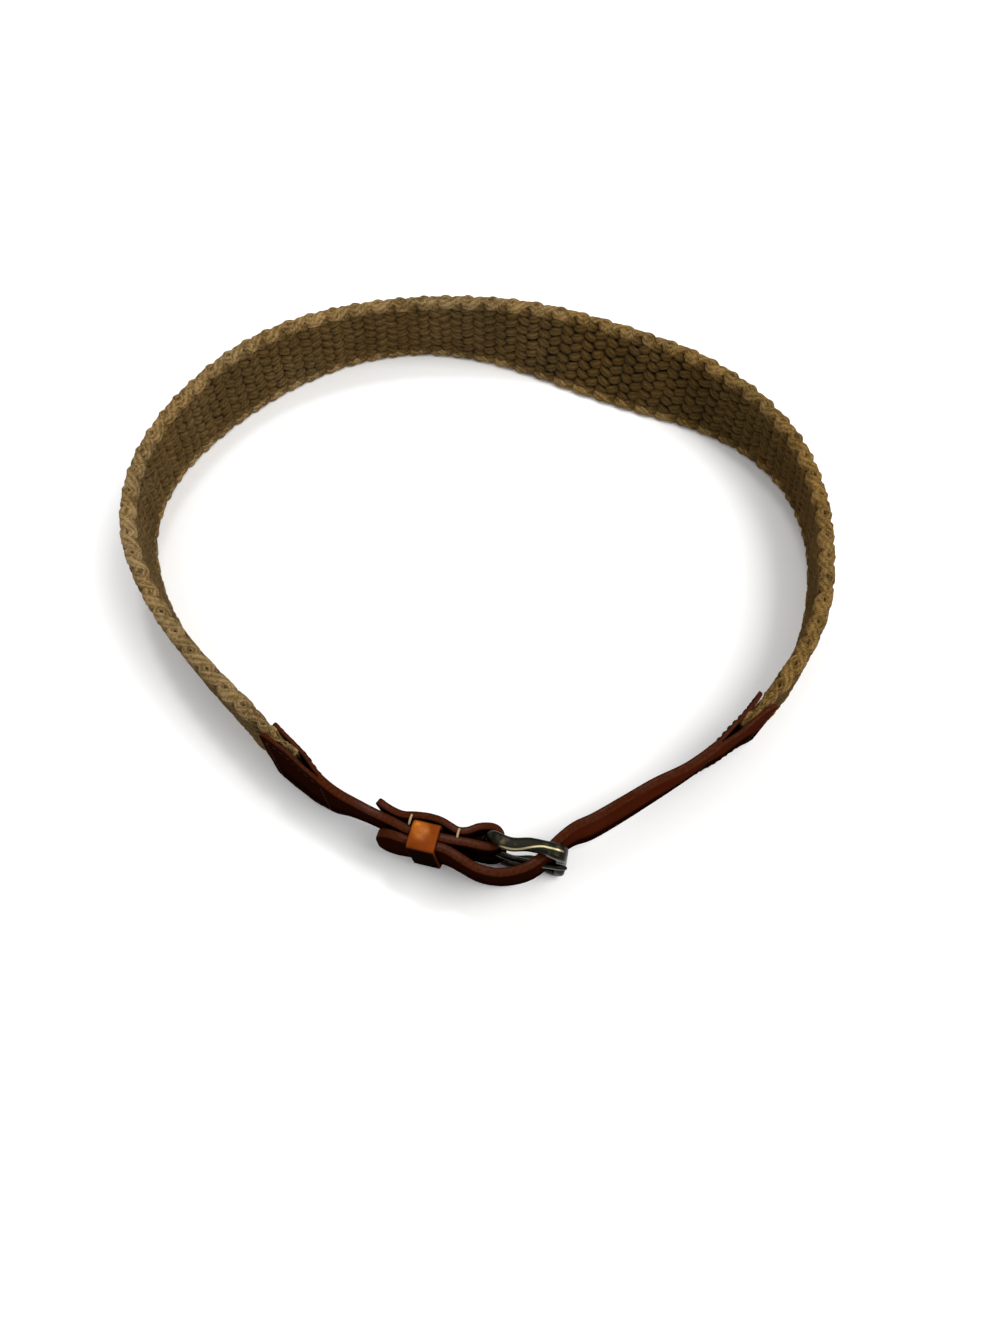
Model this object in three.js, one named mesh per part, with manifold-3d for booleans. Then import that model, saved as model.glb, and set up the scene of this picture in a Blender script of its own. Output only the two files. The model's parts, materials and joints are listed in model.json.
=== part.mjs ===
import * as THREE from 'three';
import { mergeVertices } from 'three/addons/utils/BufferGeometryUtils.js';
import Module from 'manifold-3d';

// Woven belt, buckled into a standing loop. Millimetres, +Z up, buckle on the -Y side.
const BAND_H = 38;          // width of the woven band, which stands as its height
const BAND_T = 5.5;         // thickness of the woven band
const BAND_GRIP_T = 3.2;    // thickness where it leaves the leather plies
const BAND_END_T = 1.4;     // thickness at its ends, deep between the plies
const STRAP_H = 25.5;       // width of the leather straps at the buckle
const STRAP_T = 3.4;        // thickness of the leather straps
const TAIL_THIN = 0.6;      // how much thinner the folded tail is pared
const PLY_T = 1.7;          // one ply of the forked ends
const PLY_GRIP = 17;        // length of woven band held between the plies
const PLY_MERGE = 11;       // length over which the two plies close to one strap
const PLY_CUT = 2.5;        // length over which a ply's free end is rounded off
const PLY_LIFT = 9;         // length over which a ply's free end stands off the band
const HELD = PLY_GRIP - 1;  // length of the band's end that lies between them
const GAP = 0.3;            // clearance between touching pieces
const MID_Z = 17.25;        // centre height of straps, bars and prong at the buckle
const LEAN_Z = 18;          // height about which every lean is a shear
const BUCKLE_AT = new THREE.Vector2(-22.0, 117.8);
const BUCKLE_TURN = THREE.MathUtils.degToRad(-13.6);
const BUCKLE_LEAN = 7.5;

// Frame of the buckle: length between bar centres, height between rail centres, bar sizes.
// The rails and their front corners stand prouder on the outer side, beside the prong's seat.
const FRAME = { length: 26.3, low: 2.1, high: 32.4, corner: 2.6, heel: 1.75, rail: 2.1, deep: 1.95,
  shoulder: 1.1, frontShoulder: 0.9 };
const HEEL_V = -3.0;        // offset of the heel bar from the buckle line
const FOLD_R = 3.8;         // centre radius of the strap folded round the heel bar
const KEEPER = { at: -22.8, width: 10.4, in: -2.8, out: 8.5, low: 2.4, high: 32.1, wall: 1.4 };
const PRONG = { r: 2.85, thick: 2.2, wide: 3.2, loopThick: 1.5, loopWide: 4.8 };
const HOLE_D = 4.4;
const HOLE_PITCH = 22;

const U = new THREE.Vector2(Math.cos(BUCKLE_TURN), Math.sin(BUCKLE_TURN));
const V = new THREE.Vector2(Math.sin(BUCKLE_TURN), -Math.cos(BUCKLE_TURN));
const slope = (deg) => Math.tan(THREE.MathUtils.degToRad(deg));

// Billet strap from its tip, through the keeper and under the front bar, in buckle coordinates.
const BILLET_ROWS = [
  { u: -41.0, v: 4.6, lean: 3, h: STRAP_H },
  { u: -34.5, v: 4.9, lean: 5, h: STRAP_H },
  { u: -28.4, v: 5.1, lean: BUCKLE_LEAN, h: STRAP_H },
  { u: -21.2, v: 5.1, lean: BUCKLE_LEAN, h: STRAP_H },
  { u: -15.0, v: 5.1, lean: BUCKLE_LEAN, h: STRAP_H },
  { u: -9.0, v: 6.8, lean: 8, h: STRAP_H },
  { u: -2.5, v: 8.8, lean: 9, h: STRAP_H },
  { u: 4.8, v: 8.8, lean: 10, h: STRAP_H },
  { u: 11.0, v: 6.8, lean: 10, h: STRAP_H },
  { u: 15.4, v: 4.1, lean: 9.5, h: STRAP_H },
  { u: 18.7, v: 0.7, lean: 9, h: STRAP_H },
  { u: 21.4, v: -3.7, lean: 8.5, h: STRAP_H },
  { u: 24.7, v: -9.0, lean: 8, h: STRAP_H },
  { u: 28.9, v: -13.9, lean: 6, h: STRAP_H },
  { u: 34.4, v: -17.9, lean: 4, h: 25.8 },
  { u: 44.1, v: -27.1, lean: 5, h: 27.5 },
  { u: 53.9, v: -36.9, lean: 8, h: 30.2 },
];

// The band's line round the waist, in plan, at half height. A positive lean tips the top outward.
const LOOP_ROWS = [
  { x: 51.2, y: 147.9, lean: 9.5, h: 33.2 },
  { x: 74.9, y: 166.2, lean: 7, h: BAND_H },
  { x: 96.1, y: 187.4, lean: 1.5, h: BAND_H },
  { x: 111.3, y: 213.2, lean: -2, h: BAND_H },
  { x: 119.5, y: 242.0, lean: -7, h: BAND_H },
  { x: 122.1, y: 271.8, lean: -10, h: BAND_H },
  { x: 116.8, y: 301.2, lean: -9.5, h: BAND_H },
  { x: 101.6, y: 326.8, lean: -4, h: BAND_H },
  { x: 79.0, y: 346.5, lean: 8, h: BAND_H },
  { x: 53.2, y: 361.7, lean: 21.5, h: BAND_H },
  { x: 26.1, y: 374.6, lean: 22, h: BAND_H },
  { x: -2.0, y: 385.2, lean: 9.5, h: BAND_H },
  { x: -31.0, y: 392.8, lean: -2.5, h: BAND_H },
  { x: -60.8, y: 394.8, lean: -9, h: BAND_H },
  { x: -90.2, y: 389.2, lean: -8, h: BAND_H },
  { x: -117.4, y: 376.6, lean: -2.5, h: BAND_H },
  { x: -140.9, y: 358.1, lean: 0.5, h: BAND_H },
  { x: -159.8, y: 334.8, lean: -2, h: BAND_H },
  { x: -173.4, y: 308.2, lean: -5, h: BAND_H },
  { x: -178.4, y: 278.8, lean: -4, h: BAND_H },
  { x: -173.1, y: 249.4, lean: 1, h: BAND_H },
  { x: -159.8, y: 222.6, lean: 3, h: BAND_H },
  { x: -141.7, y: 198.7, lean: 5.5, h: BAND_H },
  { x: -121.3, y: 176.7, lean: 5, h: BAND_H },
  { x: -100.3, y: 155.3, lean: 0.5, h: BAND_H },
];

// Buckle strap: tapers from the woven band to the heel bar, folds round it and runs back inside.
const TAB_ROWS = [
  { u: -75.6, v: -13.1, lean: 0, h: 36.4 },
  { u: -69.0, v: -9.3, lean: 1, h: 33.4 },
  { u: -63.0, v: -6.7, lean: 3, h: 30.4 },
  { u: -57.0, v: -5.4, lean: 7, h: 28.0 },
  { u: -51.5, v: -4.3, lean: 8.5, h: 26.4 },
  { u: -44.0, v: -2.6, lean: 9.5, h: STRAP_H },
  { u: -36.0, v: -0.6, lean: 8.5, h: STRAP_H },
  { u: -28.5, v: 1.4, lean: BUCKLE_LEAN, h: STRAP_H },
  { u: -21.2, v: 1.4, lean: BUCKLE_LEAN, h: STRAP_H },
  { u: -14.0, v: 1.4, lean: BUCKLE_LEAN, h: STRAP_H },
  { u: -7.0, v: 1.0, lean: BUCKLE_LEAN, h: STRAP_H },
];
const TAIL_ROWS = [
  { u: -4.5, v: -5.8, lean: BUCKLE_LEAN, h: STRAP_H },
  { u: -8.4, v: -3.3, lean: BUCKLE_LEAN, h: STRAP_H },
  { u: -11.8, v: -2.6, lean: BUCKLE_LEAN, h: STRAP_H },
  { u: -15.0, v: -3.6, lean: BUCKLE_LEAN, h: STRAP_H },
  { u: -18.6, v: -4.75, lean: BUCKLE_LEAN, h: STRAP_H },
  { u: -23.2, v: -5.1, lean: BUCKLE_LEAN, h: STRAP_H },
  { u: -28.0, v: -4.6, lean: BUCKLE_LEAN, h: STRAP_H },
  { u: -32.8, v: -3.75, lean: BUCKLE_LEAN, h: STRAP_H },
  { u: -38.2, v: -5.15, lean: 9, h: STRAP_H },
  { u: -43.2, v: -7.3, lean: 9.5, h: STRAP_H },
];

const toPlan = (u, v) => BUCKLE_AT.clone().addScaledVector(U, u).addScaledVector(V, v);

function foldRows() {
  return [90, 50, 15, -20, -55, -90].map((deg) => {
    const a = THREE.MathUtils.degToRad(deg);
    const v = HEEL_V + FOLD_R * Math.sin(a);
    return { u: FOLD_R * Math.cos(a), v, lean: BUCKLE_LEAN, h: STRAP_H };
  });
}

function fromBuckle(row) {
  const p = toPlan(row.u, row.v);
  const push = V.clone().multiplyScalar(slope(row.lean));
  return { p, push, h: row.h };
}

function fromLoop(row, i, rows) {
  const before = rows[Math.max(i - 1, 0)];
  const after = rows[Math.min(i + 1, rows.length - 1)];
  const along = new THREE.Vector2(after.x - before.x, after.y - before.y).normalize();
  const push = new THREE.Vector2(along.y, -along.x).multiplyScalar(slope(row.lean));
  return { p: new THREE.Vector2(row.x, row.y), push, h: row.h };
}

// One spine for the whole strap: billet tip, loop, buckle strap, fold and tail, in that order.
const rows = [
  ...BILLET_ROWS.map(fromBuckle),
  ...LOOP_ROWS.map(fromLoop),
  ...[...TAB_ROWS, ...foldRows(), ...TAIL_ROWS].map(fromBuckle),
];
const line = new THREE.CatmullRomCurve3(rows.map((r) => new THREE.Vector3(r.p.x, r.p.y, 0)), false);
const section = new THREE.CatmullRomCurve3(
  rows.map((r) => new THREE.Vector3(r.push.x, r.push.y, r.h)), false, 'catmullrom', 0.5);
const PER_ROW = 24;
const spine = [];
for (let k = 0; k <= (rows.length - 1) * PER_ROW; k++) {
  const t = k / ((rows.length - 1) * PER_ROW);
  const p = line.getPoint(t);
  const { x: px, y: py, z } = section.getPoint(t);
  const h = Math.min(BAND_H, Math.max(STRAP_H, z));
  const tan = line.getTangent(t);
  const last = spine[spine.length - 1];
  const s = last ? last.s + Math.hypot(p.x - last.x, p.y - last.y) : 0;
  spine.push({ s, x: p.x, y: p.y, nx: tan.y, ny: -tan.x, px, py, h });
}
const rowAt = (index) => spine[index * PER_ROW].s;
const LENGTH = spine[spine.length - 1].s;
const BILLET_JOIN = rowAt(BILLET_ROWS.length + 1) + 10;
const TAB_JOIN = rowAt(BILLET_ROWS.length + LOOP_ROWS.length - 1) - 5.5;

function station(s) {
  let i = 1;
  while (i < spine.length - 1 && spine[i].s < s) i += 1;
  const a = spine[i - 1];
  const b = spine[i];
  const f = THREE.MathUtils.clamp((s - a.s) / (b.s - a.s), 0, 1);
  const out = {};
  for (const key of Object.keys(a)) out[key] = THREE.MathUtils.lerp(a[key], b[key], f);
  return out;
}

// Base height of the strap above the floor: its centre rises to MID_Z at the buckle.
function bottomOf(h) {
  const narrow = THREE.MathUtils.clamp((BAND_H - h) / (BAND_H - STRAP_H), 0, 1);
  return narrow * (MID_Z - STRAP_H / 2);
}

// Closed ring of (across, up) points of a rectangle with rounded corners.
function roundedRing(halfA, halfB, radius, perCorner) {
  const r = Math.min(radius, halfA * 0.98, halfB * 0.98);
  const ring = [];
  for (let q = 0; q < 4; q++) {
    const ca = (q === 0 || q === 3 ? 1 : -1) * (halfA - r);
    const cb = (q < 2 ? 1 : -1) * (halfB - r);
    for (let k = 0; k < perCorner; k++) {
      const a = (q + k / (perCorner - 1)) * Math.PI / 2;
      ring.push([ca + r * Math.cos(a), cb + r * Math.sin(a)]);
    }
  }
  return ring;
}

// Closed body from rings of equal length; capped with fans unless it loops on itself.
function loft(rings, looped) {
  const n = rings[0].length;
  const points = rings.flat();
  const index = [];
  const count = looped ? rings.length : rings.length - 1;
  for (let i = 0; i < count; i++) {
    const a = i * n;
    const b = ((i + 1) % rings.length) * n;
    for (let k = 0; k < n; k++) {
      const m = (k + 1) % n;
      index.push(a + k, a + m, b + k, a + m, b + m, b + k);
    }
  }
  if (!looped) {
    for (const [at, flip] of [[0, true], [(rings.length - 1) * n, false]]) {
      const mid = new THREE.Vector3();
      for (let k = 0; k < n; k++) mid.addScaledVector(points[at + k], 1 / n);
      points.push(mid);
      for (let k = 0; k < n; k++) {
        const m = (k + 1) % n;
        if (flip) index.push(points.length - 1, at + m, at + k);
        else index.push(points.length - 1, at + k, at + m);
      }
    }
  }
  const geometry = new THREE.BufferGeometry().setFromPoints(points);
  geometry.setIndex(index);
  return outward(geometry);
}

// Turns every face over when the signed volume comes out negative.
function outward(geometry) {
  const p = geometry.attributes.position;
  const idx = geometry.index.array;
  const [a, b, c] = [new THREE.Vector3(), new THREE.Vector3(), new THREE.Vector3()];
  let volume = 0;
  for (let i = 0; i < idx.length; i += 3) {
    a.fromBufferAttribute(p, idx[i]);
    b.fromBufferAttribute(p, idx[i + 1]);
    c.fromBufferAttribute(p, idx[i + 2]);
    volume += a.dot(b.cross(c));
  }
  if (volume < 0) {
    for (let i = 0; i < idx.length; i += 3) [idx[i], idx[i + 1]] = [idx[i + 1], idx[i]];
  }
  return geometry;
}

// Evenly spaced lengths from a to b, at most `step` apart.
function spaced(a, b, step) {
  const n = Math.max(1, Math.ceil((b - a) / step));
  return Array.from({ length: n + 1 }, (_, i) => a + (b - a) * i / n);
}

// A strap piece: a rounded section carried along the spine, leaned by shear so its base is level.
function ribbon(lengths, sizeAt, corner, perCorner) {
  const rings = lengths.map((s) => {
    const q = station(s);
    const { thick, height, base, offset } = sizeAt(s, q);
    return roundedRing(thick / 2, height / 2, corner, perCorner).map(([a, b]) => {
      const z = base + height / 2 + b;
      const d = offset + a;
      const up = z - LEAN_Z;
      return new THREE.Vector3(q.x + q.nx * d + q.px * up, q.y + q.ny * d + q.py * up, z);
    });
  });
  return loft(rings, false);
}

function inBuckle(u, v, z) {
  const p = toPlan(u, v).addScaledVector(V, slope(BUCKLE_LEAN) * (z - LEAN_Z));
  return new THREE.Vector3(p.x, p.y, z);
}

// Moves a geometry drawn with x=u, y=v, z=height into the leaning buckle.
function placeInBuckle(geometry) {
  const clean = mergeVertices(bare(geometry), 1e-4);
  const p = clean.attributes.position;
  for (let i = 0; i < p.count; i++) {
    const q = inBuckle(p.getX(i), p.getY(i), p.getZ(i));
    p.setXYZ(i, q.x, q.y, q.z);
  }
  return outward(clean);
}

function bare(geometry) {
  const copy = geometry.index ? geometry.toNonIndexed() : geometry.clone();
  for (const name of Object.keys(copy.attributes)) if (name !== 'position') copy.deleteAttribute(name);
  return copy;
}

const wasm = await Module();
wasm.setup();

function toSolid(geometry) {
  const clean = mergeVertices(bare(geometry), 1e-4);
  return new wasm.Manifold(new wasm.Mesh({
    numProp: 3,
    vertProperties: new Float32Array(clean.attributes.position.array),
    triVerts: new Uint32Array(clean.index.array),
  }));
}

function fromSolid(solid) {
  const mesh = solid.getMesh();
  const count = mesh.vertProperties.length / mesh.numProp;
  const position = new Float32Array(count * 3);
  for (let i = 0; i < count; i++) {
    for (let k = 0; k < 3; k++) position[i * 3 + k] = mesh.vertProperties[i * mesh.numProp + k];
  }
  const geometry = new THREE.BufferGeometry();
  geometry.setAttribute('position', new THREE.BufferAttribute(position, 3));
  geometry.setIndex(Array.from(mesh.triVerts));
  return geometry;
}

const union = (parts) => parts.map(toSolid).reduce((sum, part) => sum.add(part));
const cut = (solid, tools) => tools.map(toSolid).reduce((left, tool) => left.subtract(tool), solid);

// Thickness of the band by its distance from its own end: a wedge between the plies, then a swell.
function bandThick(inside) {
  const held = THREE.MathUtils.lerp(BAND_END_T, BAND_GRIP_T, THREE.MathUtils.clamp(inside / HELD, 0, 1));
  return THREE.MathUtils.lerp(held, BAND_T, THREE.MathUtils.smoothstep(inside, PLY_GRIP, PLY_GRIP + 10));
}

// Woven band: full thickness round the waist, a thin wedge where the plies hold it.
function wovenBand() {
  const from = BILLET_JOIN - HELD;
  const to = TAB_JOIN + HELD;
  const size = (s, q) => {
    const height = q.h / Math.hypot(1, q.px, q.py);
    return { thick: bandThick(Math.min(s - from, to - s)), height, base: bottomOf(q.h), offset: 0 };
  };
  return ribbon(spaced(from, to, 6.4), size, 1.9, 3);
}

// Distance of a ply's centre from the spine, by its distance x past the ply's free end.
function plyOffset(x) {
  const apart = bandThick(Math.max(0, HELD - x)) / 2 + GAP + PLY_T / 2;
  const shut = THREE.MathUtils.smoothstep(x, PLY_GRIP, PLY_GRIP + PLY_MERGE);
  return THREE.MathUtils.lerp(apart, PLY_T / 2 - 0.04, shut);
}

// The two plies at a forked end; `way` is +1 where the strap runs forward from its free end,
// and the flares are how far the outer and the inner ply stand off the band there.
function plies(freeEnd, way, outerFlare, innerFlare) {
  const reach = PLY_GRIP + PLY_MERGE + 4;
  const lengths = [0, 1, PLY_CUT, ...spaced(5, reach, 3)].map((x) => freeEnd + way * x);
  if (way < 0) lengths.reverse();
  return [1, -1].map((side) => ribbon(lengths, (s, q) => {
    const x = Math.abs(s - freeEnd);
    const trim = 2 * THREE.MathUtils.clamp(1 - x / PLY_CUT, 0, 1) ** 2;
    const flare = side > 0 ? outerFlare : innerFlare;
    const offset = side * (plyOffset(x) + flare * THREE.MathUtils.clamp(1 - x / PLY_LIFT, 0, 1) ** 2);
    return { thick: PLY_T, height: q.h - 2 * trim, base: bottomOf(q.h) + trim, offset };
  }, 0.45, 2));
}

function buckleTab() {
  const root = TAB_JOIN + PLY_GRIP + PLY_MERGE - 1;
  const foldFrom = rowAt(rows.length - TAIL_ROWS.length - 6) - 4;
  const foldTo = rowAt(rows.length - TAIL_ROWS.length - 1) + 4;
  const lengths = [
    ...spaced(root, foldFrom, 4).slice(0, -1),
    ...spaced(foldFrom, foldTo, 1.3).slice(0, -1),
    ...spaced(foldTo, LENGTH, 4),
  ];
  const size = (s, q) => {
    const thin = THREE.MathUtils.smoothstep(s, foldFrom, foldTo) * TAIL_THIN;
    return { thick: STRAP_T - thin, height: q.h, base: bottomOf(q.h), offset: 0 };
  };
  const slot = new THREE.Shape();
  const [half, end] = [3.1, 7.5];
  slot.absarc(end - half, 0, half, -Math.PI / 2, Math.PI / 2);
  slot.absarc(half - end - 3, 0, half, Math.PI / 2, Math.PI * 1.5);
  const bar = new THREE.ExtrudeGeometry(slot, { depth: 16, bevelEnabled: false, curveSegments: 8 });
  bar.rotateX(Math.PI / 2).translate(0, 6, MID_Z);
  const body = union([ribbon(lengths, size, 0.8, 3), ...plies(TAB_JOIN, 1, 0.5, 0.4)]);
  return fromSolid(cut(body, [placeInBuckle(bar)]));
}

function billetTab() {
  const root = BILLET_JOIN - PLY_GRIP - PLY_MERGE + 1;
  const round = 9;
  const lengths = [0, 0.25, 0.8, 1.7, 3, 4.6, 6.6, ...spaced(round, 96, 3.2), ...spaced(99.5, root, 4)];
  const size = (s, q) => {
    const x = Math.min(s / round, 1);
    const height = q.h * (0.3 + 0.7 * Math.sqrt(Math.max(0, 1 - (1 - x) ** 2)));
    const base = bottomOf(q.h) + (q.h - height) / 2;
    return { thick: STRAP_T, height, base, offset: 0 };
  };
  const prongHole = new THREE.CylinderGeometry(HOLE_D / 2, HOLE_D / 2, 10, 20);
  prongHole.scale(0.78, 1, 1).rotateZ(Math.PI / 2).rotateX(Math.PI / 2).translate(19, 0.9, MID_Z);
  const used = rowAt(10);
  const holes = [-2, -1].map((k) => {
    const q = station(used + k * HOLE_PITCH);
    const drill = new THREE.CylinderGeometry(HOLE_D / 2, HOLE_D / 2, 8, 20);
    drill.rotateZ(Math.PI / 2).rotateZ(Math.atan2(q.ny, q.nx));
    return drill.translate(q.x, q.y, bottomOf(q.h) + q.h / 2);
  });
  const body = union([ribbon(lengths, size, 0.8, 3), ...plies(BILLET_JOIN, -1, 1.3, 0.9)]);
  return fromSolid(cut(body, [placeInBuckle(prongHole), ...holes]));
}

// Frame: a rounded section carried round a rounded rectangle, bowed outward near the heel.
function frameBow(u) {
  const x = THREE.MathUtils.clamp(u / FRAME.length, 0, 1);
  return HEEL_V + 1.5 * Math.sin(Math.PI * Math.min(1, x * 1.7)) ** 2 - 0.3 * x;
}

function buckleFrame() {
  const { length, low, high, corner } = FRAME;
  const outline = new THREE.Path();
  outline.moveTo(0, low + corner);
  outline.lineTo(0, high - corner).absarc(corner, high - corner, corner, Math.PI, Math.PI / 2, true);
  outline.lineTo(length - corner, high).absarc(length - corner, high - corner, corner, Math.PI / 2, 0, true);
  outline.lineTo(length, low + corner).absarc(length - corner, low + corner, corner, 0, -Math.PI / 2, true);
  outline.lineTo(corner, low).absarc(corner, low + corner, corner, -Math.PI / 2, -Math.PI, true);
  const pts = outline.getSpacedPoints(72).slice(0, -1);
  const rings = pts.map((p, i) => {
    const a = pts[(i + pts.length - 1) % pts.length];
    const b = pts[(i + 1) % pts.length];
    const out = new THREE.Vector2(-(b.y - a.y), b.x - a.x).normalize();
    const flat = Math.abs(p.y - low) < 1e-6 && Math.abs(out.y) > 0.9;
    if (flat) out.set(0, -1);
    const heel = THREE.MathUtils.smoothstep(p.x, 0.2, corner);
    const rail = heel * THREE.MathUtils.smoothstep(Math.abs(p.y - MID_Z), 6, 12);
    const front = THREE.MathUtils.smoothstep(p.x, 19, 25);
    const proud = rail * (FRAME.shoulder + FRAME.frontShoulder * front);
    const halfA = THREE.MathUtils.lerp(FRAME.heel, FRAME.rail, heel);
    const halfB = THREE.MathUtils.lerp(FRAME.heel, FRAME.deep, heel) + proud / 2;
    const ring = roundedRing(halfA, halfB, THREE.MathUtils.lerp(1.7, 1.25, heel), 4);
    return ring.map(([m, w]) => inBuckle(p.x + out.x * m, frameBow(p.x) + proud / 2 + w, p.y + out.y * m));
  });
  return loft(rings, true);
}

// Prong: hooked round the heel bar, its shank lying on the front bar.
function prong() {
  const r = PRONG.r;
  const rest = HEEL_V - 0.3 + FRAME.deep + GAP + PRONG.thick / 2;
  const path = [
    [r * 0.75, HEEL_V - r * 0.72], [0, HEEL_V - r], [-r * 0.72, HEEL_V - r * 0.7], [-r, HEEL_V],
    [-r * 0.7, HEEL_V + r * 0.74], [0.3, HEEL_V + r * 1.03], [4, rest + 0.35], [10, rest + 0.7],
    [18, rest + 0.6], [24, rest + 0.15], [29, rest - 0.25],
  ];
  const curve = new THREE.CatmullRomCurve3(path.map(([u, v]) => new THREE.Vector3(u, v, 0)));
  const steps = 46;
  const rings = [];
  for (let i = 0; i <= steps; i++) {
    const t = i / steps;
    const c = curve.getPointAt(t);
    const tan = curve.getTangentAt(t);
    const shank = THREE.MathUtils.smoothstep(t, 0.3, 0.45);
    const tip = 1 - 0.45 * THREE.MathUtils.smoothstep(t, 0.93, 1);
    const thick = THREE.MathUtils.lerp(PRONG.loopThick, PRONG.thick, shank) * tip;
    const wide = THREE.MathUtils.lerp(PRONG.loopWide, PRONG.wide, shank) * tip;
    const ring = roundedRing(thick / 2, wide / 2, 0.3 + 0.65 * shank, 3);
    rings.push(ring.map(([a, b]) => inBuckle(c.x - tan.y * a, c.y + tan.x * a, MID_Z + b)));
  }
  return loft(rings, false);
}

function roundedRect(shape, x0, x1, y0, y1, r) {
  shape.moveTo(x0 + r, y0).lineTo(x1 - r, y0).absarc(x1 - r, y0 + r, r, -Math.PI / 2, 0);
  shape.lineTo(x1, y1 - r).absarc(x1 - r, y1 - r, r, 0, Math.PI / 2);
  shape.lineTo(x0 + r, y1).absarc(x0 + r, y1 - r, r, Math.PI / 2, Math.PI);
  shape.lineTo(x0, y0 + r).absarc(x0 + r, y0 + r, r, Math.PI, Math.PI * 1.5);
  return shape;
}

function keeper() {
  const k = KEEPER;
  const soft = 0.3;
  const w = k.wall;
  const loop = roundedRect(new THREE.Shape(), k.in + soft, k.out - soft, k.low + soft, k.high - soft, 2.4);
  loop.holes.push(roundedRect(new THREE.Path(), k.in + w - soft, k.out - w + soft,
    k.low + w - soft, k.high - w + soft, 1.1));
  const ring = new THREE.ExtrudeGeometry(loop, {
    depth: k.width - 2 * soft, bevelSize: soft, bevelThickness: soft, bevelSegments: 1, curveSegments: 4,
  });
  ring.translate(0, 0, soft - k.width / 2).rotateX(Math.PI / 2).rotateZ(Math.PI / 2);
  ring.translate(k.at, 0, 0);
  return placeInBuckle(ring);
}

const LEATHER = { color: 0x4a2012, roughness: 0.45, metalness: 0 };
const PIECES = [
  { name: 'woven_band', make: wovenBand, look: { color: 0xa58a5e, roughness: 0.9, metalness: 0 } },
  { name: 'buckle_tab', make: buckleTab, look: LEATHER },
  { name: 'billet_tab', make: billetTab, look: LEATHER },
  { name: 'buckle_frame', make: buckleFrame, look: { color: 0x5c5238, roughness: 0.35, metalness: 1 } },
  { name: 'prong', make: prong, look: { color: 0x6b5f42, roughness: 0.35, metalness: 1 } },
  { name: 'keeper', make: keeper, look: { color: 0x8a3f14, roughness: 0.4, metalness: 0 } },
];

const belt = new THREE.Group();
belt.name = 'woven_belt';
for (const { name, make, look } of PIECES) {
  const geometry = make();
  geometry.computeVertexNormals();
  const mesh = new THREE.Mesh(geometry, new THREE.MeshStandardMaterial(look));
  mesh.name = name;
  belt.add(mesh);
}
const box = new THREE.Box3().setFromObject(belt);
const centre = box.getCenter(new THREE.Vector3());
for (const mesh of belt.children) mesh.geometry.translate(-centre.x, -centre.y, -box.min.z);

export default belt;
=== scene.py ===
"""Woven belt, buckled into a standing loop: its looks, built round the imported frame."""

import json
import logging
import math
from dataclasses import dataclass, field
from enum import Enum
from typing import ClassVar

import bpy
import numpy as np
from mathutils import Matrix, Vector

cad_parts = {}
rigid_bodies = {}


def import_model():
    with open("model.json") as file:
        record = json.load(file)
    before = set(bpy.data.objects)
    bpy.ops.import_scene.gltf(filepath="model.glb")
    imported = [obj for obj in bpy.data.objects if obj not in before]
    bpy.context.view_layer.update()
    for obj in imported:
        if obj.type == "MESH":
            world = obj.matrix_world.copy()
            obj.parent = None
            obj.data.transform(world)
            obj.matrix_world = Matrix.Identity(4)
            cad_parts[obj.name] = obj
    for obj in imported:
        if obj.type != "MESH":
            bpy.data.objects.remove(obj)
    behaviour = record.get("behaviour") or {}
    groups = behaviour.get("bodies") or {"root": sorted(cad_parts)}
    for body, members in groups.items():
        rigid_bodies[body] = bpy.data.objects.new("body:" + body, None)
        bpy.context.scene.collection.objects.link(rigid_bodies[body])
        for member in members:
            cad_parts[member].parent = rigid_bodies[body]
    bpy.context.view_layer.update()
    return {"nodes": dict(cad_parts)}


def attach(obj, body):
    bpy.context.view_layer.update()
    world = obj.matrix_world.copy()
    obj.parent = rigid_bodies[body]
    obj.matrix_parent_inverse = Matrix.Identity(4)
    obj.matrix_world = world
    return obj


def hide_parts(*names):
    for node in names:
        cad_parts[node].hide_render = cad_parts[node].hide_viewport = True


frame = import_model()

log = logging.getLogger("woven_belt")

# Sizes are in millimetres. Plan positions are seen from above, and PLAN_CENTRE is the one that
# lies at the part's origin.
MM = 0.001
PLAN_CENTRE = np.array([-27.272, 252.495])

# The buckle's place and heading in plan, its lean in degrees, the height that it leans about,
# and the height of the strap's middle.
BUCKLE_AT = np.array([-22.0, 117.8])
BUCKLE_TURN = math.radians(-13.6)
ALONG = np.array([math.cos(BUCKLE_TURN), math.sin(BUCKLE_TURN)])
OUTWARD = np.array([math.sin(BUCKLE_TURN), -math.cos(BUCKLE_TURN)])
BUCKLE_LEAN = 7.5
LEAN_Z = 18.0
MID_Z = 17.25

# The fold round the heel bar: its middle, its radius and the angles of its stations in degrees.
HEEL_V = -3.0
FOLD_R = 3.8
FOLD_TURNS = (90, 50, 15, -20, -55, -90)

# The band's height, its thickness when free, at the plies' grip and at its own end, and the
# length over which it swells past the grip.
BAND_H = 38.0
BAND_T = 5.5
BAND_GRIP_T = 3.2
BAND_END_T = 1.4
BAND_SWELL = 10.0

# The strap, and how much thinner its folded tail is.
STRAP_H = 25.5
STRAP_T = 3.4
TAIL_THIN = 0.6

# The plies that hold the band: their thickness, how far they grip, merge, are cut at the
# corners and stand off, how much of the band they hold, and the gap to it.
PLY_T = 1.7
PLY_GRIP = 17.0
PLY_MERGE = 11.0
PLY_CUT = 2.5
PLY_LIFT = 9.0
HELD = PLY_GRIP - 1.0
GAP = 0.3

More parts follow.
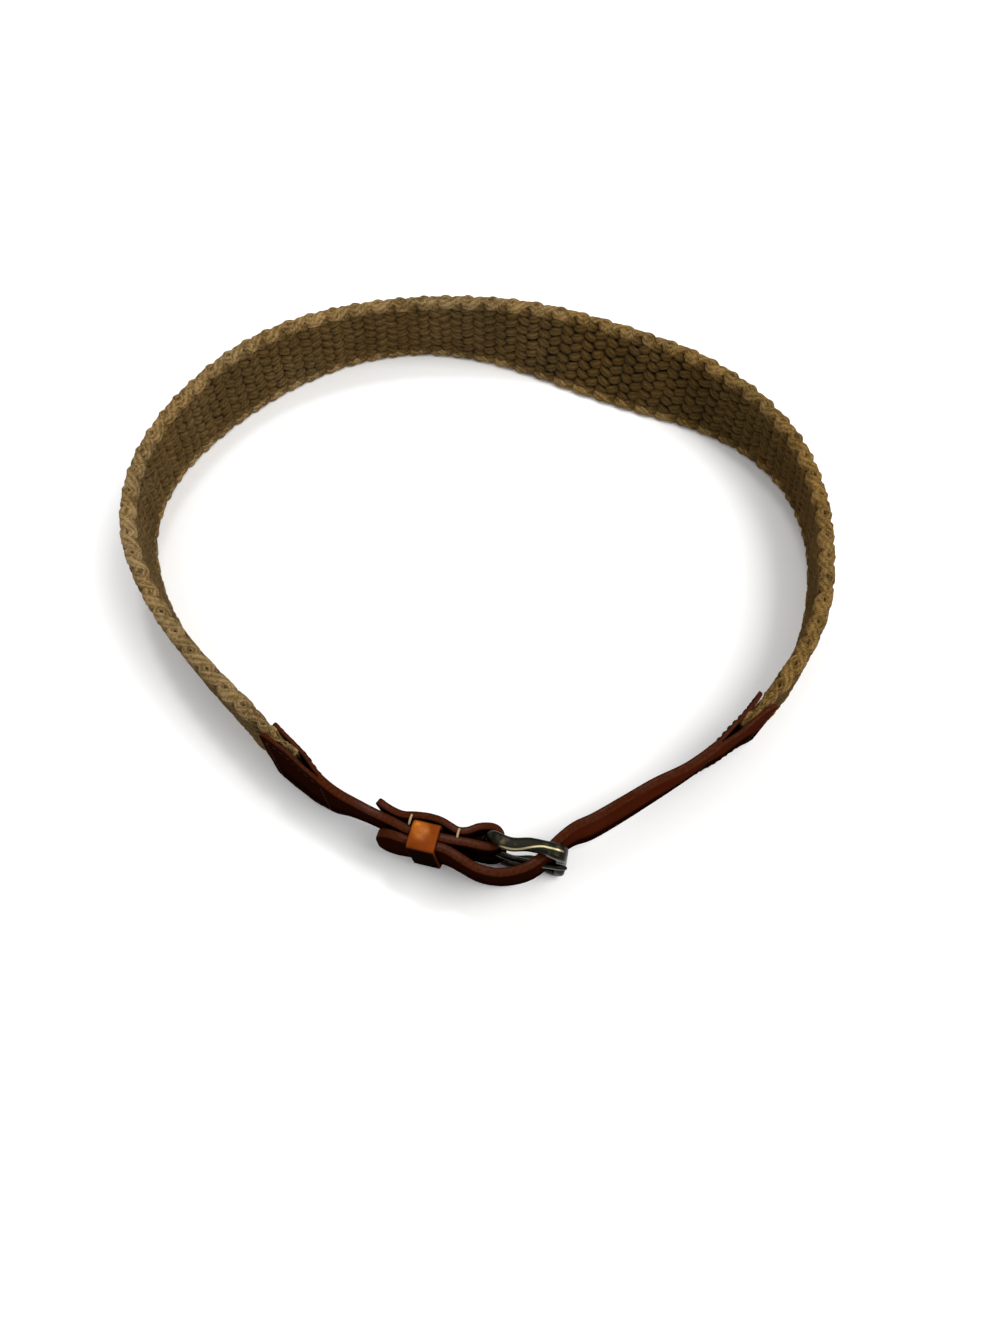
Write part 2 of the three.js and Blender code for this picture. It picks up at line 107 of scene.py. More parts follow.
# The thread's radius and sides, the places that one stitch follows, the stitches' pitch and
# how much of it a stitch fills.
THREAD_R = 0.30
THREAD_SIDES = 6
STITCH_POINTS = 5
STITCH_PITCH = 3.1
STITCH_FILL = 0.78

# Spacing of the rows along a strap, and the angle beyond which an edge of the leather is crisp.
ROW_STEP = 1.5
CRISP = math.radians(42)


def slope(degrees: float) -> float:
    """Returns how far a lean of these degrees shifts a point for each millimetre of height."""
    return math.tan(math.radians(degrees))


def in_plan(u: float, v: float) -> np.ndarray:
    """Turns buckle coordinates, along and outward, into plan coordinates in millimetres."""
    return BUCKLE_AT + ALONG * u + OUTWARD * v


def in_buckle(points: np.ndarray) -> np.ndarray:
    """Places points given as along, outward and height in the leaning buckle.

    Args:
        points: An array of shape (n, 3) in millimetres.

    Returns:
        The same points in metres, in the part's frame.
    """
    flat = BUCKLE_AT + points[:, :1] * ALONG
    flat = flat + (points[:, 1:2] + slope(BUCKLE_LEAN) * (points[:, 2:] - LEAN_Z)) * OUTWARD
    return np.hstack([flat - PLAN_CENTRE, points[:, 2:]]) * MM


@dataclass(frozen=True)
class BuckleRow:
    """A station of a strap near the buckle, in buckle coordinates."""

    u: float
    v: float
    lean: float = BUCKLE_LEAN
    height: float = STRAP_H

    def station(self) -> tuple[np.ndarray, np.ndarray]:
        """Returns the plan position, and the lean's shift for a millimetre with the height."""
        return in_plan(self.u, self.v), np.append(OUTWARD * slope(self.lean), self.height)


@dataclass(frozen=True)
class WaistRow:
    """A station of the strap round the waist, in plan, at half height."""

    x: float
    y: float
    lean: float
    height: float = BAND_H

    def station(self, before: "WaistRow", after: "WaistRow") -> tuple[np.ndarray, np.ndarray]:
        """Works out what the spine needs at this row.

        Args:
            before: The row before this one, or this one where it is the first.
            after: The row after this one, or this one where it is the last.

        Returns:
            The plan position, and the lean's shift for a millimetre with the height.
        """
        way = np.array([after.x - before.x, after.y - before.y])
        way = way / np.linalg.norm(way)
        push = np.array([way[1], -way[0]]) * slope(self.lean)
        return np.array([self.x, self.y]), np.append(push, self.height)


BILLET_ROWS = [
    BuckleRow(-41.0, 4.6, 3), BuckleRow(-34.5, 4.9, 5), BuckleRow(-28.4, 5.1),
    BuckleRow(-21.2, 5.1), BuckleRow(-15.0, 5.1), BuckleRow(-9.0, 6.8, 8),
    BuckleRow(-2.5, 8.8, 9), BuckleRow(4.8, 8.8, 10), BuckleRow(11.0, 6.8, 10),
    BuckleRow(15.4, 4.1, 9.5), BuckleRow(18.7, 0.7, 9), BuckleRow(21.4, -3.7, 8.5),
    BuckleRow(24.7, -9.0, 8), BuckleRow(28.9, -13.9, 6), BuckleRow(34.4, -17.9, 4, 25.8),
    BuckleRow(44.1, -27.1, 5, 27.5), BuckleRow(53.9, -36.9, 8, 30.2),
]
WAIST_ROWS = [
    WaistRow(51.2, 147.9, 9.5, 33.2), WaistRow(74.9, 166.2, 7), WaistRow(96.1, 187.4, 1.5),
    WaistRow(111.3, 213.2, -2), WaistRow(119.5, 242.0, -7), WaistRow(122.1, 271.8, -10),
    WaistRow(116.8, 301.2, -9.5), WaistRow(101.6, 326.8, -4), WaistRow(79.0, 346.5, 8),
    WaistRow(53.2, 361.7, 21.5), WaistRow(26.1, 374.6, 22), WaistRow(-2.0, 385.2, 9.5),
    WaistRow(-31.0, 392.8, -2.5), WaistRow(-60.8, 394.8, -9), WaistRow(-90.2, 389.2, -8),
    WaistRow(-117.4, 376.6, -2.5), WaistRow(-140.9, 358.1, 0.5), WaistRow(-159.8, 334.8, -2),
    WaistRow(-173.4, 308.2, -5), WaistRow(-178.4, 278.8, -4), WaistRow(-173.1, 249.4, 1),
    WaistRow(-159.8, 222.6, 3), WaistRow(-141.7, 198.7, 5.5), WaistRow(-121.3, 176.7, 5),
    WaistRow(-100.3, 155.3, 0.5),
]
TAB_ROWS = [
    BuckleRow(-75.6, -13.1, 0, 36.4), BuckleRow(-69.0, -9.3, 1, 33.4),
    BuckleRow(-63.0, -6.7, 3, 30.4), BuckleRow(-57.0, -5.4, 7, 28.0),
    BuckleRow(-51.5, -4.3, 8.5, 26.4), BuckleRow(-44.0, -2.6, 9.5), BuckleRow(-36.0, -0.6, 8.5),
    BuckleRow(-28.5, 1.4), BuckleRow(-21.2, 1.4), BuckleRow(-14.0, 1.4), BuckleRow(-7.0, 1.0),
]
TAIL_ROWS = [
    BuckleRow(-4.5, -5.8), BuckleRow(-8.4, -3.3), BuckleRow(-11.8, -2.6), BuckleRow(-15.0, -3.6),
    BuckleRow(-18.6, -4.75), BuckleRow(-23.2, -5.1), BuckleRow(-28.0, -4.6),
    BuckleRow(-32.8, -3.75), BuckleRow(-38.2, -5.15, 9), BuckleRow(-43.2, -7.3, 9.5),
]


def fold_rows() -> list[BuckleRow]:
    """Returns the stations of the half turn round the heel bar."""
    turns = [math.radians(degrees) for degrees in FOLD_TURNS]
    return [BuckleRow(FOLD_R * math.cos(a), HEEL_V + FOLD_R * math.sin(a)) for a in turns]


def ease(x: np.ndarray, low: float, high: float) -> np.ndarray:
    """Rises smoothly from 0 at low to 1 at high."""
    t = np.clip((x - low) / (high - low), 0.0, 1.0)
    return t * t * (3.0 - 2.0 * t)


def unit(rows: np.ndarray) -> np.ndarray:
    """Scales each row of an array to length 1."""
    return rows / np.linalg.norm(rows, axis=1)[:, None]


@dataclass
class Stations:
    """Values of the spine at a list of lengths along it, all in millimetres."""

    s: np.ndarray
    xy: np.ndarray
    normal: np.ndarray
    push: np.ndarray
    height: np.ndarray


class StrapSpine:
    """The one line that the whole strap follows: tip, waist, buckle strap, fold and tail."""

    PER_ROW: ClassVar[int] = 24
    PRONG_ROW: ClassVar[int] = 10

    def __init__(self) -> None:
        """Joins the row tables and samples the curve through them."""
        last = len(WAIST_ROWS) - 1
        stations = [row.station() for row in BILLET_ROWS]
        stations += [row.station(WAIST_ROWS[max(i - 1, 0)], WAIST_ROWS[min(i + 1, last)])
                     for i, row in enumerate(WAIST_ROWS)]
        stations += [row.station() for row in [*TAB_ROWS, *fold_rows(), *TAIL_ROWS]]
        self.rows = len(stations)
        places, sections = zip(*stations)
        self._sample(np.array(places), np.array(sections))

    def _sample(self, places: np.ndarray, sections: np.ndarray) -> None:
        """Samples a centripetal curve through the places and a plain one through the sections.

        Args:
            places: Plan positions, shape (n, 2).
            sections: Shift x, shift y and height of each row, shape (n, 3).
        """
        p, q = (np.vstack([2 * rows[0] - rows[1], rows, 2 * rows[-1] - rows[-2]])
                for rows in (places, sections))
        xy, tangent, extra = [], [], []
        for i in range(self.rows - 1):
            x0, x1, x2, x3 = p[i:i + 4]
            d0, d1, d2 = (np.linalg.norm(b - a) ** 0.5 for a, b in ((x0, x1), (x1, x2), (x2, x3)))
            t1 = ((x1 - x0) / d0 - (x2 - x0) / (d0 + d1) + (x2 - x1) / d1) * d1
            t2 = ((x2 - x1) / d1 - (x3 - x1) / (d1 + d2) + (x3 - x2) / d2) * d1
            c2, c3 = -3 * x1 + 3 * x2 - 2 * t1 - t2, 2 * x1 - 2 * x2 + t1 + t2
            y0, y1, y2, y3 = q[i:i + 4]
            e1, e2 = 0.5 * (y2 - y0), 0.5 * (y3 - y1)
            steps = self.PER_ROW + (1 if i == self.rows - 2 else 0)
            for k in range(steps):
                t = k / self.PER_ROW
                xy.append(x1 + t1 * t + c2 * t * t + c3 * t ** 3)
                tangent.append(t1 + 2 * c2 * t + 3 * c3 * t * t)
                extra.append(y1 + e1 * t + (-3 * y1 + 3 * y2 - 2 * e1 - e2) * t * t
                             + (2 * y1 - 2 * y2 + e1 + e2) * t ** 3)
        self.xy = np.array(xy)
        way = unit(np.array(tangent))
        self.normal = np.column_stack([way[:, 1], -way[:, 0]])
        self.push = np.array(extra)[:, :2]
        self.height = np.clip(np.array(extra)[:, 2], STRAP_H, BAND_H)
        steps = np.linalg.norm(np.diff(self.xy, axis=0), axis=1)
        self.s = np.concatenate([[0.0], np.cumsum(steps)])
        self.length = float(self.s[-1])

    def row_at(self, index: int) -> float:
        """Returns the length along the spine at a row of the joined tables."""
        return float(self.s[index * self.PER_ROW])

    def at(self, s: np.ndarray) -> Stations:
        """Reads the spine at some lengths.

        Args:
            s: The lengths along it.

        Returns:
            Its values there.
        """
        def read(values: np.ndarray) -> np.ndarray:
            """Reads one number, or each column of several, at the lengths."""
            if values.ndim == 1:
                return np.interp(s, self.s, values)
            return np.column_stack([np.interp(s, self.s, column) for column in values.T])

        return Stations(s, read(self.xy), unit(read(self.normal)), read(self.push),
                        read(self.height))

    def nearest(self, u: float, v: float, low: float, high: float) -> float:
        """Finds the length that lies nearest a point of the buckle.

        Args:
            u: The point's place along the buckle.
            v: Its place outward.
            low: The shortest length to look at.
            high: The longest one.

        Returns:
            The length along the spine.
        """
        keep = (self.s >= low) & (self.s <= high)
        gap = np.where(keep, np.linalg.norm(self.xy - in_plan(u, v), axis=1), np.inf)
        return float(self.s[int(np.argmin(gap))])

    @property
    def billet_join(self) -> float:
        """Length at which the billet's plies end on the woven band."""
        return self.row_at(len(BILLET_ROWS) + 1) + 10.0

    @property
    def tab_join(self) -> float:
        """Length at which the buckle strap's plies end on the woven band."""
        return self.row_at(len(BILLET_ROWS) + len(WAIST_ROWS) - 1) - 5.5

    @property
    def prong_hole(self) -> float:
        """Length at which the prong stands in the billet."""
        return self.row_at(self.PRONG_ROW)

    @property
    def fold_start(self) -> float:
        """Length at which the strap starts to turn round the heel bar."""
        return self.row_at(self.rows - len(TAIL_ROWS) - len(FOLD_TURNS))

    @property
    def fold_end(self) -> float:
        """Length at which the strap has turned and runs back as the tail."""
        return self.row_at(self.rows - len(TAIL_ROWS) - 1)


def base_of(height: np.ndarray) -> np.ndarray:
    """Returns how far above the floor a strap of this height starts."""
    narrow = np.clip((BAND_H - height) / (BAND_H - STRAP_H), 0.0, 1.0)
    return narrow * (MID_Z - STRAP_H / 2)


def band_thick(inside: np.ndarray) -> np.ndarray:
    """Returns the band's thickness by distance from its own end: a wedge, then a swell."""
    held = BAND_END_T + (BAND_GRIP_T - BAND_END_T) * np.clip(inside / HELD, 0.0, 1.0)
    return held + (BAND_T - held) * ease(inside, PLY_GRIP, PLY_GRIP + BAND_SWELL)


def on_strap(q: Stations, across: np.ndarray, z: np.ndarray) -> np.ndarray:
    """Places points by their distance from the spine and their height.

    Args:
        q: The spine's values, one for each point.
        across: Distance outward from the spine, in millimetres.
        z: Height above the floor, in millimetres.

    Returns:
        Points in metres, in the part's frame, shape (n, 3).
    """
    flat = q.xy + q.normal * across[:, None] + q.push * (z - LEAN_Z)[:, None] - PLAN_CENTRE
    return np.column_stack([flat, z]) * MM


def rounded_ring(half_a: float, half_b: float, radius: float, per_corner: int) -> np.ndarray:
    """Draws a rectangle with rounded corners.

    Args:
        half_a: Half its size along the first axis.
        half_b: Half its size along the second axis.
        radius: The corners' radius, which is cut down where the rectangle is thinner.
        per_corner: How many points each corner has.

    Returns:
        The points round it, shape (4 * per_corner, 2).
    """
    r = min(radius, half_a * 0.98, half_b * 0.98)
    ring = []
    for q in range(4):
        ca = (1 if q in (0, 3) else -1) * (half_a - r)
        cb = (1 if q < 2 else -1) * (half_b - r)
        for k in range(per_corner):
            a = (q + k / (per_corner - 1)) * math.pi / 2
            ring.append((ca + r * math.cos(a), cb + r * math.sin(a)))
    return np.array(ring)


def deselect() -> None:
    """Clears the selection, because an operator acts on all that is selected."""
    bpy.ops.object.select_all(action="DESELECT")


def select_only(piece: bpy.types.Object) -> None:
    """Makes one object the only selected and the active one.

    Args:
        piece: The object.
    """
    deselect()
    piece.select_set(True)
    bpy.context.view_layer.objects.active = piece


def new_piece(name: str, points: np.ndarray, faces: list) -> bpy.types.Object:
    """Makes an object at the origin from points in metres and faces.

    Args:
        name: The piece's name.
        points: Vertex positions, shape (n, 3).
        faces: Lists of vertex numbers.

    Returns:
        The new object, linked to the scene and smooth shaded.
    """
    mesh = bpy.data.meshes.new(name)
    mesh.from_pydata([tuple(p) for p in points], [], faces)
    mesh.polygons.foreach_set("use_smooth", [True] * len(mesh.polygons))
    mesh.update()
    piece = bpy.data.objects.new(name, mesh)
    bpy.context.scene.collection.objects.link(piece)
    return piece


def face_outward(piece: bpy.types.Object) -> None:
    """Recalculates a closed piece's normals so that they point out.

    Args:
        piece: The piece, whose mesh is changed.
    """
    select_only(piece)
    bpy.ops.object.mode_set(mode="EDIT")
    bpy.ops.mesh.select_all(action="SELECT")
    bpy.ops.mesh.normals_make_consistent(inside=False)
    bpy.ops.object.mode_set(mode="OBJECT")


def loft_faces(rings: int, around: int, start: int = 0, looped: bool = False) -> list:
    """Makes the faces of a skin over equal rings, with end caps unless it loops on itself.

    Args:
        rings: How many rings there are.
        around: How many points each ring has.
        start: The number of the first ring's first point.
        looped: Whether the last ring joins the first one.

    Returns:
        The faces as tuples of vertex numbers.
    """
    faces = []
    for i in range(rings if looped else rings - 1):
        a, b = start + i * around, start + ((i + 1) % rings) * around
        for k in range(around):
            m = (k + 1) % around
            faces.append((a + k, a + m, b + m, b + k))
    if not looped:
        faces.append(tuple(start + k for k in reversed(range(around))))
        faces.append(tuple(start + (rings - 1) * around + k for k in range(around)))
    return faces


def paint(piece: bpy.types.Object, name: str, values: np.ndarray) -> None:
    """Stores one number for each vertex, which a material reads by this name."""
    layer = piece.data.attributes.new(name, "FLOAT", "POINT")
    layer.data.foreach_set("value", np.asarray(values, dtype=np.float32))


def thread_rings(centre: np.ndarray, way: np.ndarray, side: np.ndarray,
                 radius: np.ndarray | float) -> np.ndarray:
    """Carries the thread's round section along one stitch.

    Args:
        centre: Places of the thread's middle in metres, shape (n, 3).
        way: Its direction at each place.
        side: A direction square to it at each place.
        radius: Its radius in metres, one number or shape (n, 1).

    Returns:
        The points, THREAD_SIDES round each place, shape (n * THREAD_SIDES, 3).
    """
    up = np.cross(side, way)
    turns = np.linspace(0, 2 * np.pi, THREAD_SIDES, endpoint=False)
    ring = [centre + (side * math.cos(a) + up * math.sin(a)) * radius for a in turns]
    return np.stack(ring, axis=1).reshape(-1, 3)


class Value:
    """A shader socket that takes part in Python arithmetic by adding Math nodes."""

    def __init__(self, graph: "Graph", socket: bpy.types.NodeSocket) -> None:
        """Wraps an output socket of a graph."""
        self.graph = graph
        self.socket = socket

    def _math(self, operation: str, *others: "Value | float") -> "Value":
        """Adds a Math node with this value first."""
        return self.graph.math(operation, self, *others)

    def __add__(self, other: "Value | float") -> "Value":
        """Adds."""
        return self._math("ADD", other)

    def __radd__(self, other: float) -> "Value":
        """Adds, from the right."""
        return self.graph.math("ADD", other, self)

    def __sub__(self, other: "Value | float") -> "Value":
        """Subtracts."""
        return self._math("SUBTRACT", other)

    def __rsub__(self, other: float) -> "Value":
        """Subtracts this value from a number."""
        return self.graph.math("SUBTRACT", other, self)

    def __mul__(self, other: "Value | float") -> "Value":
        """Multiplies."""
        return self._math("MULTIPLY", other)

    def __rmul__(self, other: float) -> "Value":
        """Multiplies, from the right."""
        return self.graph.math("MULTIPLY", other, self)

    def __pow__(self, other: float) -> "Value":
        """Raises to a power."""
        return self._math("POWER", other)

    def sine(self) -> "Value":
        """Takes the sine."""
        return self._math("SINE")

    def size(self) -> "Value":
        """Drops the sign."""
        return self._math("ABSOLUTE")

    def clamp(self) -> "Value":
        """Keeps the value between 0 and 1."""
        node = self.graph.node("ShaderNodeClamp", {}, {"Value": self})
        return Value(self.graph, node.outputs["Result"])

    def over(self, low: float, high: float) -> "Value":
        """Maps low..high smoothly to 0..1."""
        node = self.graph.node("ShaderNodeMapRange", {"interpolation_type": "SMOOTHSTEP"},
                               {"Value": self, "From Min": low, "From Max": high})
        return Value(self.graph, node.outputs["Result"])


class Graph:
    """A material's node tree, with one way to add a node and one to do arithmetic."""

    def __init__(self, name: str) -> None:
        """Makes a material that holds only its output and its Principled shader.

        Args:
            name: The material's name.
        """
        self.material = bpy.data.materials.new(name)
        self.material.use_nodes = True
        self.tree = self.material.node_tree
        self.tree.nodes.clear()
        self.shader = self.node("ShaderNodeBsdfPrincipled", {}, {})
        out = self.node("ShaderNodeOutputMaterial", {}, {})
        self.tree.links.new(self.shader.outputs["BSDF"], out.inputs["Surface"])

    def node(self, kind: str, settings: dict, inputs: dict) -> bpy.types.Node:
        """Adds a node.

        Args:
            kind: The node's type name.
            settings: Its properties, set first. "stops" gives a ramp's positions and colours.
            inputs: Values or links by socket name or number.

        Returns:
            The new node.
        """
        node = self.tree.nodes.new(kind)
        for key, value in settings.items():
            if key == "stops":
                self._ramp(node, value)
            else:
                setattr(node, key, value)
        for key, value in inputs.items():
            self.feed(node.inputs[key], value)
        return node

    @staticmethod
    def _ramp(node: bpy.types.Node, stops: list) -> None:
        """Fills a colour ramp.

        Args:
            node: The ramp's node.
            stops: Pairs of a position and a colour, in order.
        """
        ramp = node.color_ramp
        while len(ramp.elements) < len(stops):
            ramp.elements.new(0.5)
        for element, (position, colour) in zip(ramp.elements, stops):
            element.position = position
            element.color = (*colour, 1.0)

    def feed(self, target: bpy.types.NodeSocket, value: object) -> None:
        """Links an input, or sets its default.

        Args:
            target: The input.
            value: A value or a socket to link, or the default.
        """
        if isinstance(value, Value):
            self.tree.links.new(value.socket, target)
        elif isinstance(value, bpy.types.NodeSocket):
            self.tree.links.new(value, target)
        else:
            target.default_value = value

    def math(self, operation: str, *terms: "Value | float") -> Value:
        """Adds a Math node on values and numbers."""
        node = self.node("ShaderNodeMath", {"operation": operation}, dict(enumerate(terms)))
        return Value(self, node.outputs[0])

    def attribute(self, name: str) -> Value:
        """Reads a painted number."""
        node = self.node("ShaderNodeAttribute", {"attribute_name": name}, {})
        return Value(self, node.outputs["Fac"])

    def objects(self) -> bpy.types.NodeSocket:
        """Returns the object coordinates."""
        return self.node("ShaderNodeTexCoord", {}, {}).outputs["Object"]

    def noise(self, vector: object, scale: float, detail: float = 3.0,
              rough: float = 0.55) -> Value:
        """Adds a noise texture and returns its number."""
        node = self.node("ShaderNodeTexNoise", {},
                         {"Vector": vector, "Scale": scale, "Detail": detail, "Roughness": rough})
        return Value(self, node.outputs["Fac"])

    def cells(self, vector: object, scale: float) -> Value:
        """Adds a cell texture and returns the distance to the nearest cell edge."""
        node = self.node("ShaderNodeTexVoronoi", {"feature": "DISTANCE_TO_EDGE"},
                         {"Vector": vector, "Scale": scale})
        return Value(self, node.outputs["Distance"])

    def blend(self, factor: object, first: object, second: object,
              kind: str = "MIX") -> bpy.types.NodeSocket:
        """Mixes two colours.

        Args:
            factor: How much of the second colour is mixed in, from 0 to 1.
            first: The first colour, a tuple or a link.
            second: The second colour, a tuple or a link.
            kind: The blend's type.

        Returns:
            The mixed colour.
        """
        node = self.node("ShaderNodeMix", {"data_type": "RGBA", "blend_type": kind}, {0: factor})
        for socket, value in ((node.inputs[6], first), (node.inputs[7], second)):
            self.feed(socket, (*value, 1.0) if isinstance(value, tuple) else value)
        return node.outputs[2]

    def combine(self, x: object, y: object, z: object) -> bpy.types.NodeSocket:
        """Joins three numbers to a vector."""
        return self.node("ShaderNodeCombineXYZ", {}, {0: x, 1: y, 2: z}).outputs[0]

    def split(self, vector: object) -> list[Value]:
        """Splits a vector into its three numbers."""
        node = self.node("ShaderNodeSeparateXYZ", {}, {0: vector})
        return [Value(self, out) for out in node.outputs]

    def relief(self, height: Value, strength: float, distance: float) -> None:
        """Feeds a bump of this height to the shader's normal."""
        bump = self.node("ShaderNodeBump", {},
                         {"Height": height, "Strength": strength, "Distance": distance})
        self.feed(self.shader.inputs["Normal"], bump.outputs["Normal"])

    def set(self, **sockets: object) -> None:
        """Sets the shader's sockets, with spaces in their names written as underscores."""
        for name, value in sockets.items():
            self.feed(self.shader.inputs[name.replace("_", " ")], value)


Colour = tuple[float, float, float]


@dataclass(frozen=True)
class CordFinish:
    """Dull cotton cord: fine yarns along each strand, paler on the rims from rubbing and as
    painted light, with painted shade in the hollows.
    """

    dark: Colour = (0.039, 0.0225, 0.0068)
    mid: Colour = (0.092, 0.055, 0.0185)
    pale: Colour = (0.235, 0.150, 0.064)
    # The next colour is cord worn pale on the rims, and also painted light on the lit top edge.
    rubbed_and_lit: Colour = (0.490, 0.330, 0.158)
    # The next colour is painted shade, deep in the weave's hollows.
    hollow_shade: Colour = (0.012, 0.0062, 0.0018)
    # The last colour darkens the cord towards the right of the loop, as painted shade.
    side_shade: Colour = (0.78, 0.72, 0.54)

    def material(self) -> bpy.types.Material:
        """Builds the material, which reads the strand's own UV and painted numbers.

        Returns:
            The material.
        """
        g = Graph("cotton_cord")
        uv = g.node("ShaderNodeUVMap", {"uv_map": "strand"}, {}).outputs["UV"]
        along, around, _ = g.split(uv)
        strand = g.attribute("strand")
        yarns = g.noise(g.combine(along * 0.35, around * 9.0, strand * 13.0), 1.6, 4.0, 0.6)
        fuzz = g.noise(g.combine(along * 2.2, around * 16.0, strand * 7.0), 1.3, 5.0, 0.65)
        patches = g.noise(g.objects(), 60.0, 4.0)
        rim = g.attribute("edge")
        slack = g.noise(g.combine(along * 0.45, around * 2.0, strand * 5.0), 1.0, 2.0)
        turns = around * 37.7 + along * 0.3 + slack * 11.0
        # The yarns' twist: the grooves between them darken the tone as painted shade, and also
        # shape the relief.
        grooves = (turns.sine() * 0.5 + 0.5) ** 0.6 * (1.0 - rim * 0.25)
        tone = yarns * 0.65 + fuzz * 0.6 + patches * 0.5 + grooves * 0.3 + rim * 0.05 - 0.63
        tone = tone.clamp()
        ramp = g.node("ShaderNodeValToRGB", {"stops": [
            (0.12, self.dark), (0.46, self.mid), (0.86, self.pale)]}, {"Fac": tone})
        scuffs = g.noise(g.objects(), 310.0, 4.0, 0.6)
        # The rims are paler partly from wear and partly as painted light on the top edge.
        wear_and_light = (tone * 1.1 + yarns * 0.7 + scuffs * 0.7).over(0.98, 1.42)
        worn_and_lit = g.blend(wear_and_light, self.mid, self.rubbed_and_lit)
        colour = g.blend(rim * 0.7, ramp.outputs["Color"], worn_and_lit)
        warm = g.noise(g.objects(), 23.0, 3.0).over(0.35, 0.65)
        tint = g.blend(warm, (0.96, 0.98, 0.95), (1.06, 1.0, 0.82))
        colour = g.blend(1.0, colour, tint, "MULTIPLY")
        # Painted shade: the cord grows darker towards the right of the loop.
        shaded_side = g.split(g.objects())[0].over(-0.03, 0.13)
        colour = g.blend(1.0, colour, g.blend(shaded_side, (1.0, 1.0, 1.0), self.side_shade), "MULTIPLY")
        # Painted shade: darker where a strand dips deep into the weave.
        colour = g.blend((1.0 - g.attribute("cover")).over(0.20, 0.72), colour, self.hollow_shade)
        g.relief(yarns * 0.7 + fuzz * 0.7 + grooves * 0.4, 0.8, 0.0006)
        g.set(Base_Color=colour, Roughness=0.88, Sheen_Weight=0.04, Sheen_Roughness=0.5,
              Sheen_Tint=(0.85, 0.62, 0.35, 1.0), Specular_IOR_Level=0.04)
        return g.material


@dataclass(frozen=True)
class LeatherFinish:
    """Polished vegetable-tanned leather with a fine grain and burnished edges, whose paleness is
    partly painted light.

    Painted shade darkens the lower part of a standing strap, below SHADE_LOW, and painted light
    turns it a deeper red on the lit side of the buckle, where the strap runs on to the band, past
    LIT_FROM. A painted highlight makes the lit top of the keeper paler at HIGHLIGHT_AT. All of
    them are places in metres.
    """

    SHADE_LOW: ClassVar[float] = 0.0105
    SHADE_HIGH: ClassVar[float] = 0.0155
    LIT_FROM: ClassVar[float] = 0.018
    LIT_FULL: ClassVar[float] = 0.036
    HIGHLIGHT_AT: ClassVar[tuple[float, float]] = (-0.0190, -0.1305)
    name: str
    # The first two colours are the leather's face in painted shade and the same leather painted
    # lit.
    face: Colour = (0.0060, 0.0014, 0.0006)
    warm: Colour = (0.0480, 0.0082, 0.0026)
    # The edge colour is the burnished rim, and its paleness also paints the light on the top
    # edges.
    edge: Colour = (0.0540, 0.0120, 0.0036)
    # The next two colours are the keeper's top in painted light and its painted highlight.
    top_lit_colour: Colour = (0.0360, 0.0080, 0.0026)
    highlight_colour: Colour = (0.0400, 0.0095, 0.0028)
    rough: float = 0.36
    shine: float = 1.0
    coat_ior: float = 1.3

    def material(self) -> bpy.types.Material:
        """Builds the material, which reads the painted edge and the keeper's top, painted lit and
        glossy.

        Returns:
            The material.
        """
        g = Graph(self.name)
        at = g.objects()
        clouds = g.noise(at, 55.0, 4.0).over(0.3, 0.75)
        pores = g.cells(at, 1500.0)
        creases = g.noise(at, 420.0, 5.0, 0.6)
        rim = g.attribute("edge")
        polish = g.attribute("polish")
        across, ahead, height = g.split(at)
        # Painted light and shade: the face is painted a deeper red on the lit side of the buckle,
        # and dark below the shade heights, where it stands in shade.
        lit_side = across.over(self.LIT_FROM, self.LIT_FULL) * 0.88 + 0.12
        upper = height.over(self.SHADE_LOW, self.SHADE_HIGH) * (0.65 + clouds * 0.35) * lit_side
        colour = g.blend(upper, self.face, self.warm)
        # Painted light: the keeper's upward-facing top run takes the lit top colour.
        colour = g.blend(polish * (0.55 + clouds * 0.45), colour, self.top_lit_colour)
        # Painted highlight: a paler streaky patch on the keeper's lit top.
        highlight_streaks = g.noise(at, 190.0, 3.0, 0.6).over(0.38, 0.62) * 0.65 + 0.35
        highlight_spot = (1.0 - (across - self.HIGHLIGHT_AT[0]).size().over(0.0002, 0.0042)) * (
            1.0 - (ahead - self.HIGHLIGHT_AT[1]).size().over(0.0005, 0.0062))
        colour = g.blend(polish * highlight_streaks * highlight_spot, colour, self.highlight_colour)
        # The burnished rims, painted paler, which also stands in for the light on the top edges.
        fibres = g.noise(at, 900.0, 2.0).over(0.35, 0.7)
        rim_colour = g.blend(fibres, tuple(c * 0.62 for c in self.edge), self.edge)
        colour = g.blend(rim, colour, rim_colour)
        rough = self.rough + creases * 0.14 + rim * 0.08
        coat = (polish * (0.12 + creases * 0.24) + rim * (clouds * 0.22)) * self.shine
        g.relief(pores.over(0.0, 0.25) * 0.35 + creases * 0.5, 0.22, 0.00025)
        g.set(Base_Color=colour, Roughness=rough, Specular_IOR_Level=0.0, Coat_Weight=coat,
              Coat_Roughness=0.24, Coat_IOR=self.coat_ior)
        return g.material


@dataclass(frozen=True)
class ThreadFinish:
    """Waxed linen thread."""

    name: str
    colour: Colour

    def material(self) -> bpy.types.Material:
        """Builds the material.

        Returns:
            The material.
        """
        g = Graph(self.name)
        ply = g.noise(g.objects(), 2600.0, 2.0).over(0.3, 0.7)
        colour = g.blend(ply, tuple(c * 0.6 for c in self.colour), self.colour)
        g.relief(ply, 0.4, 0.0001)
        g.set(Base_Color=colour, Roughness=0.8, Specular_IOR_Level=0.05)
        return g.material


